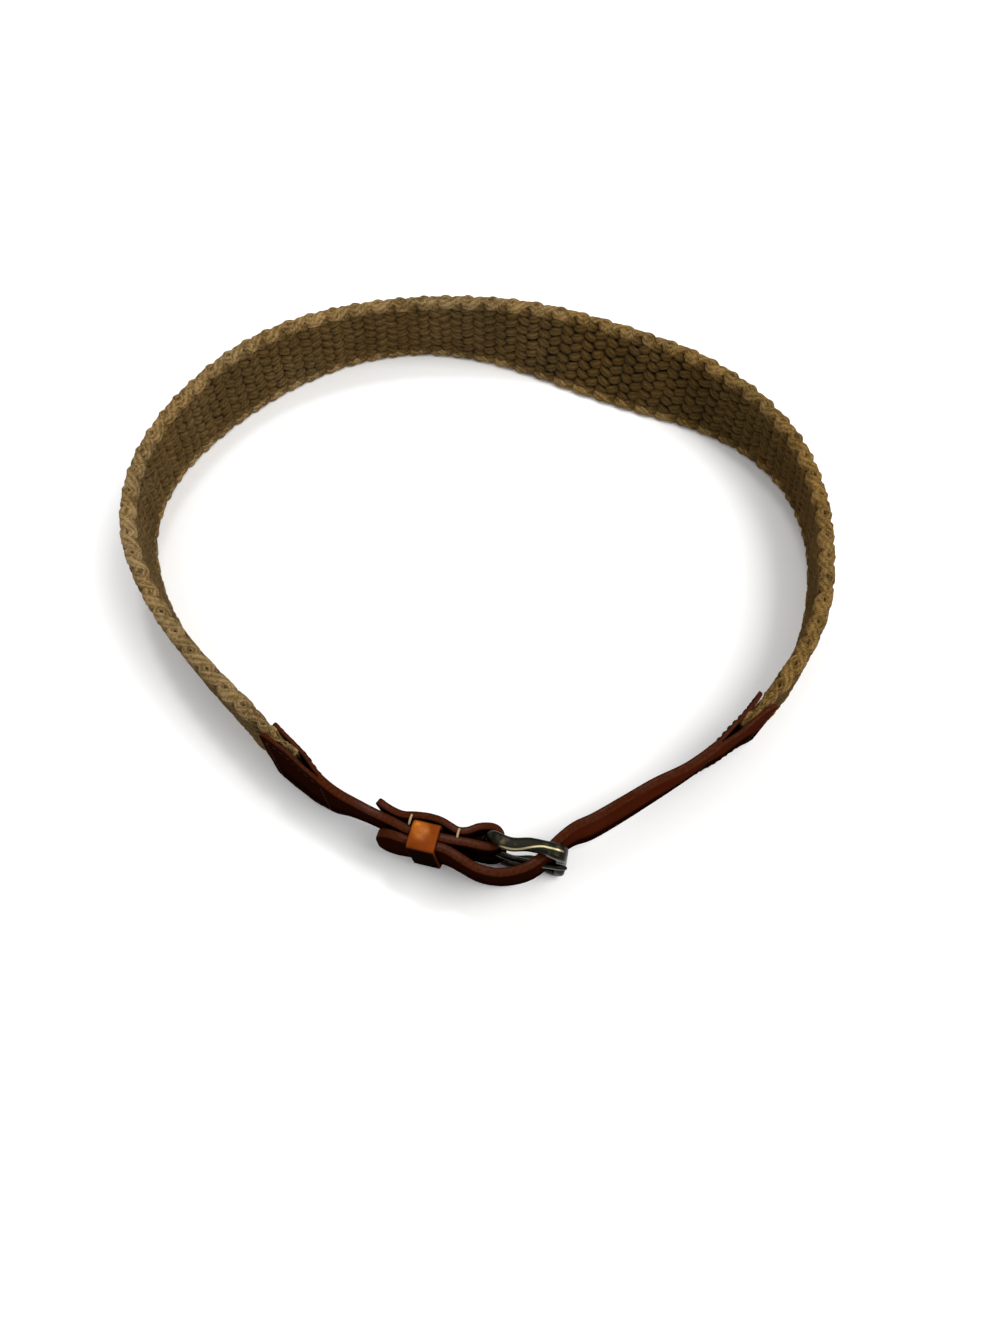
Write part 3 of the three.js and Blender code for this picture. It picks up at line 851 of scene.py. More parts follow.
@dataclass(frozen=True)
class BrassFinish:
    """Antique brass: a dark olive patina, bright from use along a line on the upper rail, which
    also paints a highlight there.
    """

    patina: Colour = (0.0115, 0.0108, 0.0070)
    metal: Colour = (0.46, 0.39, 0.22)

    def material(self) -> bpy.types.Material:
        """Builds the material, which is brighter along the line on the rail, from use and as a
        painted highlight.

        Returns:
            The material.
        """
        g = Graph("antique_brass")
        at = g.objects()
        mottle = g.noise(at, 260.0, 5.0, 0.6)
        # The line brightens the metal, from use and as a painted highlight.
        shine = self._worn_highlight_line(g, at) * (0.5 + mottle * 0.6) + mottle.over(0.52, 0.8) * 0.16
        shine = shine.clamp()
        scratch = g.noise(at, 1900.0, 2.0)
        g.relief(mottle * 0.6 + scratch * 0.25, 0.18, 0.0002)
        g.set(Base_Color=g.blend(shine, self.patina, self.metal), Metallic=1.0,
              Roughness=0.34 - shine * 0.06 + mottle * 0.1)
        return g.material

    @staticmethod
    def _worn_highlight_line(g: Graph, at: bpy.types.NodeSocket) -> Value:
        """Finds the line where the rail is bright from use and from a painted highlight, working
        in millimetres along and outward in the leaning buckle.

        Args:
            g: The material's graph.
            at: Object coordinates.

        Returns:
            1 on the line and 0 off it.
        """
        x, y, z = (part * (1 / MM) for part in g.split(at))
        east, north = (PLAN_CENTRE - BUCKLE_AT).tolist()
        x, y = x + east, y + north
        along = x * float(ALONG[0]) + y * float(ALONG[1])
        outward = x * float(OUTWARD[0]) + y * float(OUTWARD[1])
        outward = outward - (z - LEAN_Z) * slope(BUCKLE_LEAN)
        line = 0.8 - (1.0 - along.over(-2.4, 1.8)) * 1.9 - along.over(8.0, 20.5) * 3.6
        return (1.0 - (outward - line).size().over(0.12, 0.5)) * z.over(32.6, 33.6)


@dataclass(frozen=True)
class FloorFinish:
    """Plain white studio floor."""

    colour: Colour = (0.93, 0.93, 0.93)

    def material(self) -> bpy.types.Material:
        """Builds the material.

        Returns:
            The material.
        """
        g = Graph("studio_floor")
        g.set(Base_Color=(*self.colour, 1.0), Roughness=0.95, Specular_IOR_Level=0.0)
        return g.material


def dress(piece: bpy.types.Object, material: bpy.types.Material) -> None:
    """Gives a piece its only material and its body.

    Args:
        piece: The piece.
        material: Its material.
    """
    piece.data.materials.clear()
    piece.data.materials.append(material)
    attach(piece, "root")


@dataclass(frozen=True)
class Wander:
    """A seeded unevenness along a cord: how far it goes, and the length between its turns."""

    reach: float
    pitch: float

    def along(self, s: np.ndarray, dice: np.random.Generator) -> np.ndarray:
        """Returns a run of values between -reach and reach, one for each length."""
        knots = np.arange(s[0] - self.pitch, s[-1] + 2 * self.pitch, self.pitch)
        return self.reach * np.interp(s, knots, dice.uniform(-1, 1, len(knots)))


@dataclass
class WovenBand:
    """The band: a flat plain braid of cords that roll round both edges, in two pieces.

    A zone says where something starts and is complete, from 0 in the middle of the band to 1
    at its edges. Each strand has its own seed, counted from SEED, and its own tone.
    """

    SEED: ClassVar[int] = 100
    TONE_STEP: ClassVar[float] = 0.618
    spine: StrapSpine
    strands: int = 17
    stitch: float = 11.3
    strand_wide: float = 4.9
    strand_thick: float = 3.3
    full: float = 6.9
    proud: float = 1.2
    bend: float = 2.3
    sides: int = 8
    flatness: float = 0.75
    edge_swell: float = 0.12
    per_crossing: int = 7
    slip: Wander = Wander(0.7, 9.1)
    plump: Wander = Wander(0.1, 7.7)
    sway: Wander = Wander(0.32, 4.3)
    twist: Wander = Wander(0.3, 5.1)
    swell_zone: tuple[float, float] = (0.78, 0.95)
    calm_zone: tuple[float, float] = (0.75, 0.95)
    rim_zone: tuple[float, float] = (0.84, 0.97)

    def _path(self, k: int, s: np.ndarray) -> tuple[np.ndarray, np.ndarray, np.ndarray]:
        """Works out one strand's place across the band, its depth and its roll.

        Args:
            k: The strand's number, an odd number of strands being braided.
            s: Lengths along the spine from the band's start.

        Returns:
            The place across, from -1 to 1, the depth, from -1 to 1, and the roll of its flat
            face, from 0 where it faces outward to pi once it has turned round the upper edge.
        """
        n, bend = self.strands, self.bend
        x = np.mod(s / (self.stitch / 2) + 2 * k, 2 * n)
        fold = np.where(x <= n, x, 2 * n - x)
        low = np.where(fold < bend, (fold ** 2 + bend ** 2) / (2 * bend), fold)
        high = n - np.where(n - low < bend, ((n - low) ** 2 + bend ** 2) / (2 * bend), n - low)
        across = (np.where(fold < n / 2, low, high) - n / 2) / (n / 2 - bend / 2)
        wave = np.cos(np.pi * x) * np.where(x <= n, 1.0, -1.0)
        depth = np.sign(wave) * np.abs(wave) ** 0.8
        roll = np.where(x <= n, 0.0, np.pi)
        at_top = np.pi / 2 * (x - n + 1)
        near_top = np.abs(x - n) <= 1
        depth = np.where(near_top, np.cos(at_top), depth)
        roll = np.where(near_top, at_top, roll)
        at_base = np.pi / 2 * (np.where(x > n, x - 2 * n, x) + 1)
        near_base = (at_base >= 0) & (at_base <= np.pi)
        depth = np.where(near_base, np.cos(at_base), depth)
        roll = np.where(near_base, np.pi - at_base, roll)
        return across, depth, roll

    def build(self) -> list[bpy.types.Object]:
        """Makes the strands as flattened tubes, half of them in each of two meshes.

        Returns:
            The two pieces.
        """
        begin = self.spine.billet_join - HELD
        end = self.spine.tab_join + HELD
        s = np.linspace(begin, end, int((end - begin) / (self.stitch / 2) * self.per_crossing))
        split = (self.strands + 1) // 2
        return [self._weave("braided_cords_a", range(split), s),
                self._weave("braided_cords_b", range(split, self.strands), s)]

    def _weave(self, name: str, numbers: range, s: np.ndarray) -> bpy.types.Object:
        """Makes one mesh of strands with UVs along them and painted numbers.

        Args:
            name: The piece's name.
            numbers: Which strands it holds.
            s: Lengths along the spine from one end of the band to the other.

        Returns:
            The piece.
        """
        count = len(s)
        q = self.spine.at(s)
        inside = np.minimum(s - s[0], s[-1] - s)
        thick = band_thick(inside) / BAND_T
        tall = q.height / np.sqrt(1 + (q.push ** 2).sum(axis=1))
        margin = self.strand_thick / 2 * thick
        floor = base_of(q.height) + margin
        proud = self.proud * ease(inside, PLY_GRIP, PLY_GRIP + BAND_SWELL)
        room = tall - 2 * margin + proud
        section = []
        for a in np.linspace(0, 2 * np.pi, self.sides, endpoint=False):
            section.append((math.cos(a),
                            math.copysign(abs(math.sin(a)) ** self.flatness, math.sin(a))))
        out = np.column_stack([q.normal, np.zeros(count)])
        rise = unit(np.column_stack([q.push, np.ones(count)]))
        points, faces, uvs, tones, cover, edges = [], [], [], [], [], []
        for i, k in enumerate(numbers):
            dice = np.random.default_rng(self.SEED + k)
            across, depth, roll = self._path(k, s - s[0] + self.slip.along(s, dice))
            reach = np.abs(across)
            swell = 1 + self.plump.along(s, dice)
            swell = swell + self.edge_swell * ease(reach, *self.swell_zone)
            half = np.hypot(self.strand_wide / 2 * swell * np.cos(roll), margin * np.sin(roll))
            lift = depth * thick * (self.full - self.strand_thick) / 2
            inner = 1 - ease(reach, *self.calm_zone)
            z = floor + (across + 1) / 2 * room + self.sway.along(s, dice) * inner
            z = np.clip(z, floor - margin + half, floor + room + margin - half)
            centre = on_strap(q, lift, z)
            way = unit(np.gradient(centre, axis=0))
            roll = roll + self.twist.along(s, dice) * inner
            facing = out * np.cos(roll)[:, None] + rise * np.sin(roll)[:, None]
            side = unit(np.cross(way, facing))
            up = np.cross(side, way)
            wide = (self.strand_wide / 2 * swell * MM)[:, None]
            deep = (margin * MM)[:, None]
            arms = [side * wide * a + up * deep * b for a, b in section]
            ring = np.stack([centre + arm for arm in arms], axis=1).reshape(-1, 3)
            ring[:, 2] = np.maximum(ring[:, 2], 0.0)
            points.append(ring)
            faces.extend(loft_faces(count, self.sides, i * count * self.sides))
            steps = np.linalg.norm(np.diff(centre, axis=0), axis=1)
            uvs.append(self._strand_uv(np.concatenate([[0], np.cumsum(steps)]) / MM))
            tones.append(np.full(count * self.sides, (k * self.TONE_STEP) % 1.0))
            height = np.stack([np.abs(lift + (arm * out).sum(axis=1) / MM) for arm in arms],
                              axis=1)
            # The rims, which the cord finish paints paler, as wear and as painted light.
            edge = np.repeat(ease(reach, *self.rim_zone)[:, None], self.sides, axis=1)
            # How near the weave's surface each point lies; the cord finish darkens deep points as
            # painted shade.
            cover.append(np.maximum(height / (self.full / 2 * thick)[:, None], edge).ravel())
            edges.append(edge.ravel())
        piece = new_piece(name, np.vstack(points), faces)
        layer = piece.data.uv_layers.new(name="strand")
        layer.data.foreach_set("uv", np.concatenate(uvs).astype(np.float32).ravel())
        for label, values in (("strand", tones), ("cover", cover), ("edge", edges)):
            paint(piece, label, np.concatenate(values))
        face_outward(piece)
        return piece

    def _strand_uv(self, run: np.ndarray) -> np.ndarray:
        """Works out the UVs of one strand, along it and round it.

        Args:
            run: The length along the strand at each of its rings, in millimetres.

        Returns:
            The UVs of its face corners, in the order of its faces.
        """
        k = np.arange(self.sides)
        low, high = k / self.sides, (k + 1) / self.sides
        a, b = run[:-1, None], run[1:, None]
        one = np.ones((1, self.sides))
        quads = np.stack([
            np.stack([a * one, low[None] + 0 * a], axis=-1),
            np.stack([a * one, high[None] + 0 * a], axis=-1),
            np.stack([b * one, high[None] + 0 * b], axis=-1),
            np.stack([b * one, low[None] + 0 * b], axis=-1),
        ], axis=2).reshape(-1, 2)
        caps = np.zeros((2 * self.sides, 2))
        caps[self.sides:, 0] = run[-1]
        return np.vstack([quads, caps])


@dataclass
class LeatherStrap:
    """What both leather ends share: a ribbon on the spine, forked plies and thread.

    The fork runs from its free end at fork_end, in the direction fork_way along the spine, and
    its plies stand off the band by a flare.
    """

    PLY_ROWS: ClassVar[list[float]] = [0, 0.3, 0.8, 1.5, PLY_CUT]
    spine: StrapSpine
    fork_end: float
    fork_way: int
    outer_flare: float
    inner_flare: float
    corner: float = 0.75
    per_corner: int = 5
    inset: float = 3.0

    def ribbon(self, s: np.ndarray, thick: np.ndarray, tall: np.ndarray, base: np.ndarray,
               offset: np.ndarray) -> tuple[np.ndarray, np.ndarray]:
        """Carries a rounded section along the spine.

        Args:
            s: Lengths along the spine.
            thick: Thickness at each length.
            tall: Height at each length.
            base: Height of the lower edge at each length.
            offset: Distance of the ribbon's middle from the spine.

        Returns:
            The points in metres and the painted edge, one number for each point.
        """
        q = self.spine.at(s)
        rings, rims = [], []
        for i in range(len(s)):
            r = min(self.corner, thick[i] * 0.42)
            ring = rounded_ring(thick[i] / 2, tall[i] / 2, r, self.per_corner)
            one = Stations(*(np.repeat(v[i:i + 1], len(ring), axis=0)
                             for v in (q.s, q.xy, q.normal, q.push, q.height)))
            z = base[i] + tall[i] / 2 + ring[:, 1]
            rings.append(on_strap(one, offset[i] + ring[:, 0], z))
            rims.append(np.clip((np.abs(ring[:, 1]) - (tall[i] / 2 - r)) / r, 0, 1))
        return np.vstack(rings), np.concatenate(rims)

    def skin(self, name: str, ribbons: list[tuple[np.ndarray, np.ndarray]]) -> bpy.types.Object:
        """Joins ribbons into one piece and paints their edges.

        Args:
            name: The piece's name.
            ribbons: Points and painted edge of each ribbon.

        Returns:
            The piece.
        """
        around = 4 * self.per_corner
        faces, start = [], 0
        for points, _ in ribbons:
            faces.extend(loft_faces(len(points) // around, around, start))
            start += len(points)
        piece = new_piece(name, np.vstack([p for p, _ in ribbons]), faces)
        paint(piece, "edge", np.concatenate([rim for _, rim in ribbons]))
        face_outward(piece)
        return piece

    def with_plies(self, body: bpy.types.Object, name: str) -> bpy.types.Object:
        """Joins the plies to the strap and shades it smooth up to its crisp cut edges.

        Args:
            body: The strap.
            name: The plies' name until they are joined.

        Returns:
            The strap with its plies.
        """
        forks = self.skin(name, self.plies())
        select_only(body)
        forks.select_set(True)
        bpy.ops.object.join()
        select_only(body)
        bpy.ops.object.shade_smooth_by_angle(angle=CRISP)
        return body

    def plies(self) -> list[tuple[np.ndarray, np.ndarray]]:
        """Makes the two plies of the forked end.

        Returns:
            Points and painted edge of the outer ply, then of the inner one.
        """
        x = np.concatenate([self.PLY_ROWS, np.arange(4, PLY_GRIP + PLY_MERGE + 5, ROW_STEP)])
        trim = 2 * np.clip(1 - x / PLY_CUT, 0, 1) ** 2
        s = self.fork_end + self.fork_way * x
        tall = self.spine.at(s).height
        base = base_of(tall) + trim
        thick = np.full(len(x), PLY_T)
        return [self.ribbon(s, thick, tall - 2 * trim, base, self.ply_middle(x, side))
                for side in (1, -1)]

    def ply_middle(self, x: np.ndarray, side: int) -> np.ndarray:
        """Works out where a ply's middle lies across the strap.

        Args:
            x: Distances past the ply's free end.
            side: 1 for the outer ply, -1 for the inner one.

        Returns:
            The distances outward from the spine.
        """
        wide = band_thick(np.maximum(0.0, HELD - x)) / 2 + GAP + PLY_T / 2
        apart = wide + (PLY_T / 2 - 0.04 - wide) * ease(x, PLY_GRIP, PLY_GRIP + PLY_MERGE)
        flare = self.outer_flare if side > 0 else self.inner_flare
        return side * (apart + flare * np.clip(1 - x / PLY_LIFT, 0, 1) ** 2)

    def seam(self, s: np.ndarray, z: np.ndarray, across: np.ndarray, out: float) -> np.ndarray:
        """Makes one stitch that follows three or more places on a face.

        Args:
            s: Lengths along the spine of the stitch's places.
            z: Their heights.
            across: Distance of the leather's face from the spine there.
            out: 1 on the outer face and -1 on the inner one.

        Returns:
            The points of its rings.
        """
        q = self.spine.at(s)
        t = np.linspace(0, 1, len(s))
        rise = out * (0.27 * np.sin(np.pi * t) - 0.08)
        centre = on_strap(q, across + rise, z)
        way = unit(np.gradient(centre, axis=0))
        side = unit(np.cross(way, np.column_stack([q.normal, np.zeros(len(s))])))
        radius = (THREAD_R * np.clip(np.sin(np.pi * t) + 0.45, 0, 1) * MM)[:, None]
        return thread_rings(centre, way, side, radius)

    def thread(self, name: str, stitches: list[np.ndarray]) -> bpy.types.Object:
        """Joins stitches into one piece of thread.

        Args:
            name: The piece's name.
            stitches: The points of each stitch.

        Returns:
            The piece.
        """
        faces, start = [], 0
        for points in stitches:
            faces.extend(loft_faces(len(points) // THREAD_SIDES, THREAD_SIDES, start))
            start += len(points)
        piece = new_piece(name, np.vstack(stitches), faces)
        face_outward(piece)
        return piece

    def ply_seams(self) -> list[np.ndarray]:
        """Makes the box seam that holds both plies on the band.

        Returns:
            The points of each stitch.
        """
        near, far = self.inset, PLY_GRIP + PLY_MERGE + 1.0
        stitches = []
        for out in (1, -1):
            for x in np.arange(near, far - STITCH_PITCH * 0.5, STITCH_PITCH):
                run = np.linspace(x, x + STITCH_PITCH * STITCH_FILL, STITCH_POINTS)
                s = self.fork_end + self.fork_way * run
                tall = self.spine.at(s).height
                face = self.ply_middle(run, out) + out * PLY_T / 2
                for z in (base_of(tall) + self.inset, base_of(tall) + tall - self.inset):
                    stitches.append(self.seam(s, z, face, out))
            for x in (near, far):
                run = np.full(STITCH_POINTS, x)
                s = self.fork_end + self.fork_way * run
                tall = self.spine.at(s).height
                face = self.ply_middle(run, out) + out * PLY_T / 2
                low = base_of(tall)[0] + self.inset
                high = low + tall[0] - 2 * self.inset
                for z in np.arange(low, high - STITCH_PITCH * 0.5, STITCH_PITCH):
                    rise = np.linspace(z, z + STITCH_PITCH * STITCH_FILL, STITCH_POINTS)
                    stitches.append(self.seam(s, rise, face, out))
        return stitches

    @staticmethod
    def cut(piece: bpy.types.Object, drill: bpy.types.Object) -> None:
        """Cuts a drill's shape out of a piece and removes the drill.

        Args:
            piece: The piece.
            drill: The shape to cut out.
        """
        select_only(piece)
        modifier = piece.modifiers.new("hole", "BOOLEAN")
        modifier.operation = "DIFFERENCE"
        modifier.solver = "EXACT"
        modifier.object = drill
        bpy.ops.object.modifier_apply(modifier=modifier.name)
        bpy.data.objects.remove(drill, do_unlink=True)


@dataclass
class BilletStrap(LeatherStrap):
    """The strap with the holes, from its rounded tip to its forked end."""

    TIP_ROWS: ClassVar[list[float]] = [0, 0.12, 0.4, 0.9, 1.6, 2.5, 3.6, 5.0, 6.6]
    PRONG_HOLE: ClassVar[tuple[float, float, float]] = (19.0, 0.9, MID_Z)
    PRONG_PRESS: ClassVar[tuple[float, float, float]] = (1.0, 0.8, 1.0)
    round_end: float = 9.0
    hole_wide: float = 4.4
    hole_sides: int = 28
    drill_long: float = 10.0
    pitch: float = 22.0

    def build(self) -> bpy.types.Object:
        """Makes the strap, drills its holes and adds its plies.

        Returns:
            The strap.
        """
        root = self.spine.billet_join - PLY_GRIP - PLY_MERGE + 1
        s = np.concatenate([self.TIP_ROWS, np.arange(8.4, root, ROW_STEP), [root]])
        tall = self.spine.at(s).height
        narrow = np.sqrt(np.clip(1 - (1 - np.clip(s / self.round_end, 0, 1)) ** 2, 0, 1))
        short = tall * (0.3 + 0.7 * narrow)
        base = base_of(tall) + (tall - short) / 2
        strip = self.ribbon(s, np.full(len(s), STRAP_T), short, base, 0 * s)
        body = self.skin("billet_strap", [strip])
        for k in (-2, -1, 0):
            self._drill(body, k)
        return self.with_plies(body, "billet_plies")

    def _drill(self, body: bpy.types.Object, k: int) -> None:
        """Cuts one hole.

        Args:
            body: The strap.
            k: The hole's number from the one that the prong stands in, which is pressed oval.
        """
        q = self.spine.at(np.array([self.spine.prong_hole + k * self.pitch]))
        at = on_strap(q, np.zeros(1), base_of(q.height) + q.height / 2)[0]
        heading = math.atan2(q.normal[0, 1], q.normal[0, 0])
        if k == 0:
            at = in_buckle(np.array([self.PRONG_HOLE]))[0]
            heading = BUCKLE_TURN
        bpy.ops.mesh.primitive_cylinder_add(
            vertices=self.hole_sides, radius=self.hole_wide / 2 * MM,
            depth=self.drill_long * MM, location=at, rotation=(0, math.pi / 2, heading))
        drill = bpy.context.object
        if k == 0:
            drill.scale = self.PRONG_PRESS
        bpy.ops.object.transform_apply(location=True, rotation=True, scale=True)
        self.cut(body, drill)

    def stitches(self) -> bpy.types.Object:
        """Makes the thread that holds the plies."""
        return self.thread("billet_thread", self.ply_seams())


@dataclass
class BuckleStrap(LeatherStrap):
    """The strap that carries the buckle, folded round the heel bar with its tail inside.

    KEEPER_SEAMS gives each seam beside the keeper its place along the buckle, and how far
    outward it leaves the tail and enters the strap. TAIL_END counts back from the tail's end.
    """

    KEEPER_SEAMS: ClassVar[tuple[tuple[float, float, float], ...]] = (
        (-29.3, -4.3, -0.6), (-11.3, -3.2, 0.2))
    TAIL_END: ClassVar[np.ndarray] = np.array([1.2, 0.5, 0.15, 0.0])
    fold_reach: float = 4.0
    fold_step: float = 0.7
    tail_step: float = 1.4
    tail_round: float = 1.4
    tail_trim: float = 1.6
    seam_low: float = MID_Z - 10.5
    seam_high: float = MID_Z + 8.5
    seam_stitch: float = 2.4
    wrap_thick: float = 0.9
    slot_low: float = -10.5
    slot_high: float = 7.5
    slot_half: float = 3.1
    slot_inner: float = -10.5
    slot_outer: float = 5.4

    def build(self) -> bpy.types.Object:
        """Makes the folded strap, cuts the prong's slot and adds its plies.

        Returns:
            The strap.
        """
        root = self.spine.tab_join + PLY_GRIP + PLY_MERGE - 1
        fold_from = self.spine.fold_start - self.fold_reach
        fold_to = self.spine.fold_end + self.fold_reach
        end = self.spine.length
        last = end - self.TAIL_END
        s = np.concatenate([
            np.arange(root, fold_from, ROW_STEP), np.arange(fold_from, fold_to, self.fold_step),
            np.arange(fold_to, last[0], self.tail_step), last])
        tall = self.spine.at(s).height
        thick = STRAP_T - TAIL_THIN * ease(s, fold_from, fold_to)
        trim = self.tail_trim * np.clip(1 - (end - s) / self.tail_round, 0, 1) ** 2
        strip = self.ribbon(s, thick, tall - 2 * trim, base_of(tall) + trim, 0 * s)
        body = self.skin("buckle_strap", [strip])
        self._cut_slot(body)
        return self.with_plies(body, "buckle_plies")

    def _cut_slot(self, body: bpy.types.Object) -> None:
        """Cuts the oblong slot that the prong's hook sits in.

        Args:
            body: The strap.
        """
        half = (self.slot_high - self.slot_low) / 2
        ring = rounded_ring(half, self.slot_half, self.slot_half, 8)
        middle = (self.slot_high + self.slot_low) / 2
        ends = [np.column_stack([ring[:, 0] + middle, np.full(len(ring), v), ring[:, 1] + MID_Z])
                for v in (self.slot_inner, self.slot_outer)]
        drill = new_piece("slot", in_buckle(np.vstack(ends)), loft_faces(2, len(ring)))
        face_outward(drill)
        self.cut(body, drill)

    def stitches(self) -> bpy.types.Object:
        """Makes the thread that holds the plies."""
        return self.thread("buckle_strap_thread", self.ply_seams())

    def keeper_stitches(self) -> bpy.types.Object:
        """Makes the two seams beside the keeper, which hold the tail on the strap.

        Returns:
            The thread.
        """
        runs = []
        for u, inner, outer in self.KEEPER_SEAMS:
            s = self.spine.nearest(u, inner, self.spine.fold_end, self.spine.length)
            places = np.full(STITCH_POINTS, s)
            face = np.full(STITCH_POINTS, (STRAP_T - TAIL_THIN) / 2)
            for z in np.arange(self.seam_low, self.seam_high, STITCH_PITCH):
                rise = np.linspace(z, z + self.seam_stitch, STITCH_POINTS)
                runs.append(self.seam(places, rise, face, 1))
            runs.append(self._wrap(u, inner, outer))
        return self.thread("keeper_thread", runs)

    def _wrap(self, u: float, inner: float, outer: float) -> np.ndarray:
        """Makes the stitch that crosses from the tail to the strap on their upper edges.

        Args:
            u: Its place along the buckle.
            inner: Where it leaves the tail.
            outer: Where it enters the strap.

        Returns:
            The points of its rings.
        """
        top = MID_Z + STRAP_H / 2
        path = np.array([[u, inner, top - 0.7], [u, inner + 0.25, top + 0.1],
                         [u, inner + 0.9, top + 0.42], [u, (inner + outer) / 2, top + 0.5],
                         [u, outer - 0.9, top + 0.42], [u, outer - 0.25, top + 0.1],
                         [u, outer, top - 0.7]])
        centre = in_buckle(path)
        side = np.tile(np.append(ALONG, 0.0), (len(path), 1))
        radius = self.wrap_thick / 2 * MM
        return thread_rings(centre, unit(np.gradient(centre, axis=0)), side, radius)


@dataclass
class Keeper:
    """The leather loop that holds the billet, its inner run tucked behind the strap."""

    middle: float = -22.8
    wide: float = 10.4
    inner: float = -2.8
    outer: float = 8.5
    low: float = 2.4
    high: float = 32.1
    wall: float = 1.4
    crown: float = 0.3
    corner: float = 2.0
    edge_round: float = 0.5

    def build(self) -> bpy.types.Object:
        """Makes the loop as a rounded strip carried round a rounded rectangle.

        Returns:
            The loop.
        """
        centre_v, centre_z = (self.inner + self.outer) / 2, (self.low + self.high) / 2
        half_v = (self.outer - self.inner - self.wall) / 2
        half_z = (self.high - self.low - self.wall) / 2
        corners = rounded_ring(half_v, half_z, self.corner, 9)
        path = []
        for a, b in zip(corners, np.roll(corners, -1, axis=0)):
            steps = max(1, int(np.linalg.norm(b - a) / ROW_STEP))
            path.extend(a + (b - a) * t / steps for t in range(steps))
        path = np.array(path)
        around = unit(np.roll(path, -1, axis=0) - np.roll(path, 1, axis=0))
        out = np.column_stack([around[:, 1], -around[:, 0]])
        section = rounded_ring(self.wide / 2, self.wall / 2, self.edge_round, 4)
        crown = self.crown * (1 - (section[:, 0] / (self.wide / 2)) ** 2) * (section[:, 1] > 0)
        points = [np.column_stack([
            self.middle + section[:, 0],
            centre_v + p[0] + o[0] * (section[:, 1] + crown),
            centre_z + p[1] + o[1] * (section[:, 1] + crown)]) for p, o in zip(path, out)]
        piece = new_piece("keeper_loop", in_buckle(np.vstack(points)),
                          loft_faces(len(path), len(section), looped=True))
        flat = self.wide / 2 - self.edge_round
        rim = np.clip((np.abs(section[:, 0]) - flat) / self.edge_round, 0, 1)
        paint(piece, "edge", np.tile(rim, len(path)))
        # Painted light on the top run, which faces the lamps; the same number also gives it gloss.
        paint(piece, "polish", np.repeat(ease(out[:, 1], 0.3, 0.8), len(section)))
        face_outward(piece)
        return piece


class Metal(Enum):
    """The metal pieces, by CAD node, with the new piece's name."""

    FRAME = ("buckle_frame", "polished_frame")
    PRONG = ("prong", "polished_prong")


class Hardware:
    """The buckle's metal: the CAD forms, merged, subdivided and smooth shaded."""

    WELD: ClassVar[float] = 0.00001
    QUADS: ClassVar[float] = math.radians(60)

    def build(self, metal: Metal) -> bpy.types.Object:
        """Copies a CAD node, merges its loose triangles and rounds its facets.

        Args:
            metal: Which piece to make.

        Returns:
            The smooth copy.
        """
        node, name = metal.value
        source = frame["nodes"][node]
        piece = bpy.data.objects.new(name, source.data.copy())
        bpy.context.scene.collection.objects.link(piece)
        piece.data.transform(source.matrix_world)
        select_only(piece)
        bpy.ops.object.mode_set(mode="EDIT")
        bpy.ops.mesh.select_all(action="SELECT")
        bpy.ops.mesh.remove_doubles(threshold=self.WELD)
        bpy.ops.mesh.tris_convert_to_quads(face_threshold=self.QUADS, shape_threshold=self.QUADS)
        bpy.ops.mesh.select_all(action="DESELECT")
        bpy.ops.object.mode_set(mode="OBJECT")
        modifier = piece.modifiers.new("round", "SUBSURF")
        modifier.levels = modifier.render_levels = 2
        bpy.ops.object.modifier_apply(modifier=modifier.name)
        bpy.ops.object.shade_smooth()
        return piece


@dataclass(frozen=True)
class Lamp:
    """A square soft light, which faces the middle of the belt."""

    name: str
    at: tuple[float, float, float]
    size: float
    power: float
    colour: Colour = (1.0, 1.0, 1.0)

    def hang(self) -> None:
        """Adds the light to the scene."""
        data = bpy.data.lights.new(self.name, "AREA")
        data.shape = "SQUARE"
        data.size = self.size
        data.energy = self.power
        data.color = self.colour
        lamp = bpy.data.objects.new(self.name, data)
        lamp.location = self.at
        lamp.rotation_euler = (-Vector(self.at)).to_track_quat("-Z", "Y").to_euler()
        bpy.context.scene.collection.objects.link(lamp)


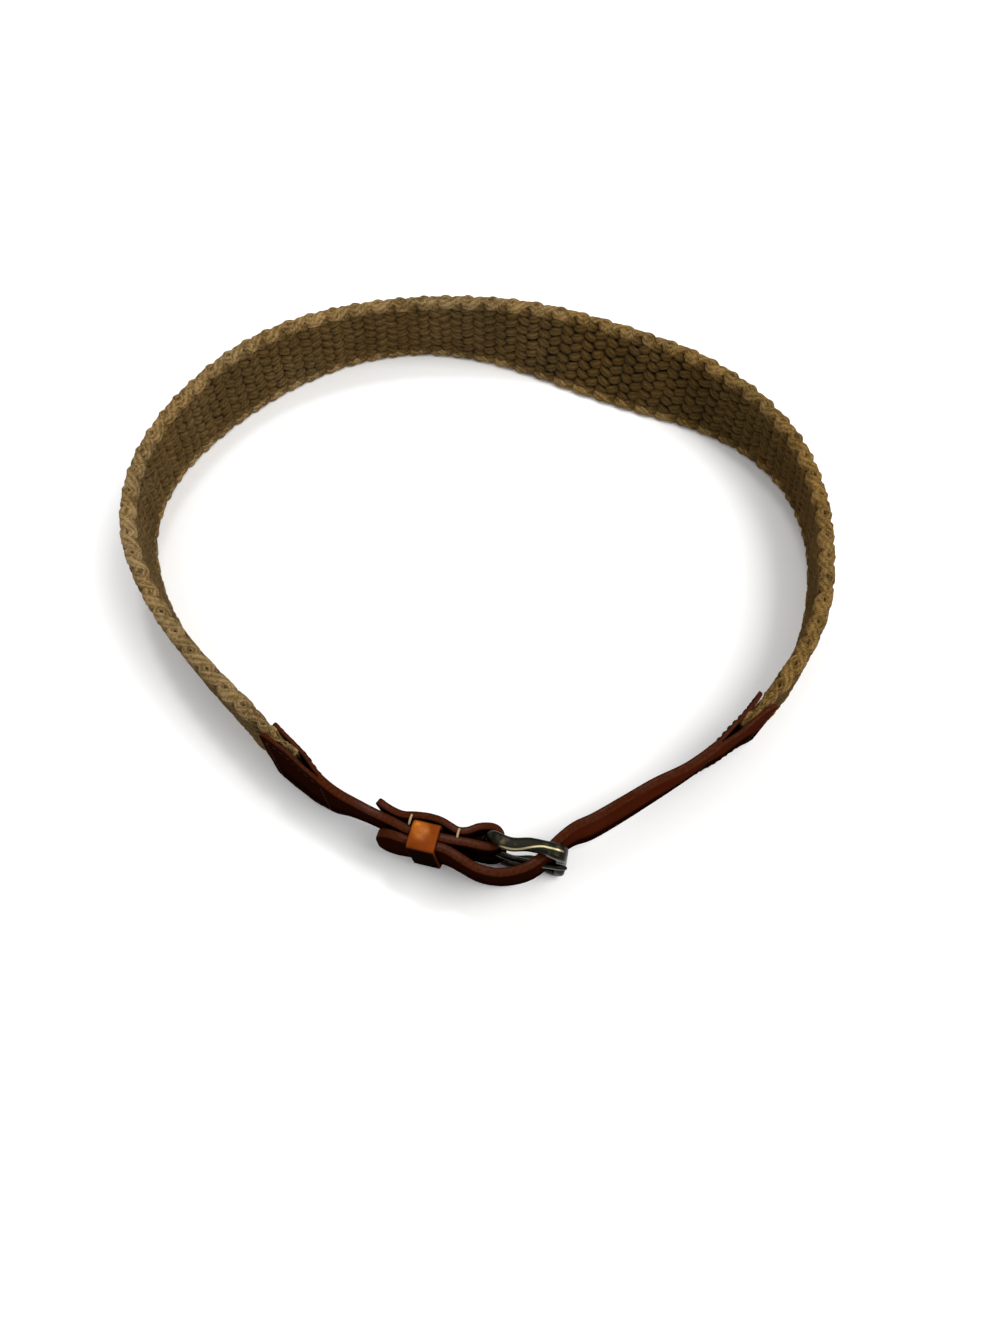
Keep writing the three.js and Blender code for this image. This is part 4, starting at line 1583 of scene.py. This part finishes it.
@dataclass
class Studio:
    """White floor, soft light from the upper right, and the photograph's camera.

    The key lamp lights the belt, and the small lamp behind it glints on its tops.
    """

    key: Lamp = Lamp("key", (0.95, -0.24, 1.65), 1.05, 24.0, (1.0, 0.99, 0.97))
    glint: Lamp = Lamp("glint", (-0.15, 0.62, 1.75), 0.25, 6.0)
    surrounding: float = 0.78
    floor_size: float = 8.0
    floor_gap: float = 0.0001
    lens: float = 26.0075
    sensor: float = 36.0
    pitch: float = 60.0
    eye: Vector = field(default_factory=lambda: Vector((-18.1 + 27.272, -252.495, 357.2)) * MM)

    def floor(self) -> None:
        """Lays the floor."""
        deselect()
        bpy.ops.mesh.primitive_plane_add(size=self.floor_size, location=(0, 0, -self.floor_gap))
        floor = bpy.context.object
        floor.name = "studio_floor"
        floor.data.materials.append(FloorFinish().material())

    def lights(self) -> None:
        """Hangs both lamps and sets a pale surrounding."""
        self.key.hang()
        self.glint.hang()
        world = bpy.data.worlds.new("studio")
        world.use_nodes = True
        back = world.node_tree.nodes["Background"]
        back.inputs["Color"].default_value = (1.0, 1.0, 1.0, 1.0)
        back.inputs["Strength"].default_value = self.surrounding
        bpy.context.scene.world = world

    def camera(self) -> None:
        """Places the photograph's camera."""
        data = bpy.data.cameras.new("photo_camera")
        data.lens = self.lens
        data.sensor_width = self.sensor
        data.sensor_fit = "AUTO"
        camera = bpy.data.objects.new("photo_camera", data)
        camera.location = self.eye
        camera.rotation_euler = (math.radians(90 - self.pitch), 0, 0)
        bpy.context.scene.collection.objects.link(camera)
        bpy.context.scene.camera = camera

    def build(self) -> None:
        """Sets the whole studio, shown with plain contrast so that the floor is white."""
        bpy.context.scene.view_settings.view_transform = "Standard"
        self.camera()
        self.floor()
        self.lights()


def main() -> None:
    """Builds the belt's pieces in order and reports each one."""
    logging.basicConfig(level=logging.INFO, format="%(name)s: %(message)s")
    Studio().build()
    spine = StrapSpine()
    leather = LeatherFinish("mahogany_leather").material()
    # The keeper's near-black face colour is painted shade on its outer side, its orange top colour
    # painted light and its pale colour a painted highlight.
    loop_leather = LeatherFinish(
        name="keeper_leather", face=(0.0040, 0.0016, 0.0010), warm=(0.0120, 0.0036, 0.0016),
        edge=(0.075, 0.016, 0.0024), top_lit_colour=(0.22, 0.042, 0.0030), highlight_colour=(0.62, 0.200, 0.0240),
        rough=0.30, shine=0.35, coat_ior=1.45).material()
    dark_thread = ThreadFinish("dark_thread", (0.022, 0.0085, 0.0040)).material()
    pale_thread = ThreadFinish("pale_thread", (0.42, 0.30, 0.16)).material()
    brass = BrassFinish().material()

    cord = CordFinish().material()
    for band in WovenBand(spine).build():
        dress(band, cord)
        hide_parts("woven_band")

    billet = BilletStrap(spine, fork_end=spine.billet_join, fork_way=-1,
                         outer_flare=1.3, inner_flare=0.9)
    strap = billet.build()
    dress(strap, leather)
    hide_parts("billet_tab")
    dress(billet.stitches(), dark_thread)

    folded = BuckleStrap(spine, fork_end=spine.tab_join, fork_way=1,
                         outer_flare=0.5, inner_flare=0.4)
    strap = folded.build()
    dress(strap, leather)
    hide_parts("buckle_tab")
    dress(folded.stitches(), dark_thread)
    dress(folded.keeper_stitches(), pale_thread)

    loop = Keeper().build()
    dress(loop, loop_leather)
    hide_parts("keeper")

    for metal in Metal:
        piece = Hardware().build(metal)
        dress(piece, brass)
        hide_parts(metal.value[0])

    for piece in bpy.context.scene.objects:
        if piece.type == "MESH":
            log.info("%s: %d faces", piece.name, len(piece.data.polygons))


if __name__ == "__main__":
    main()
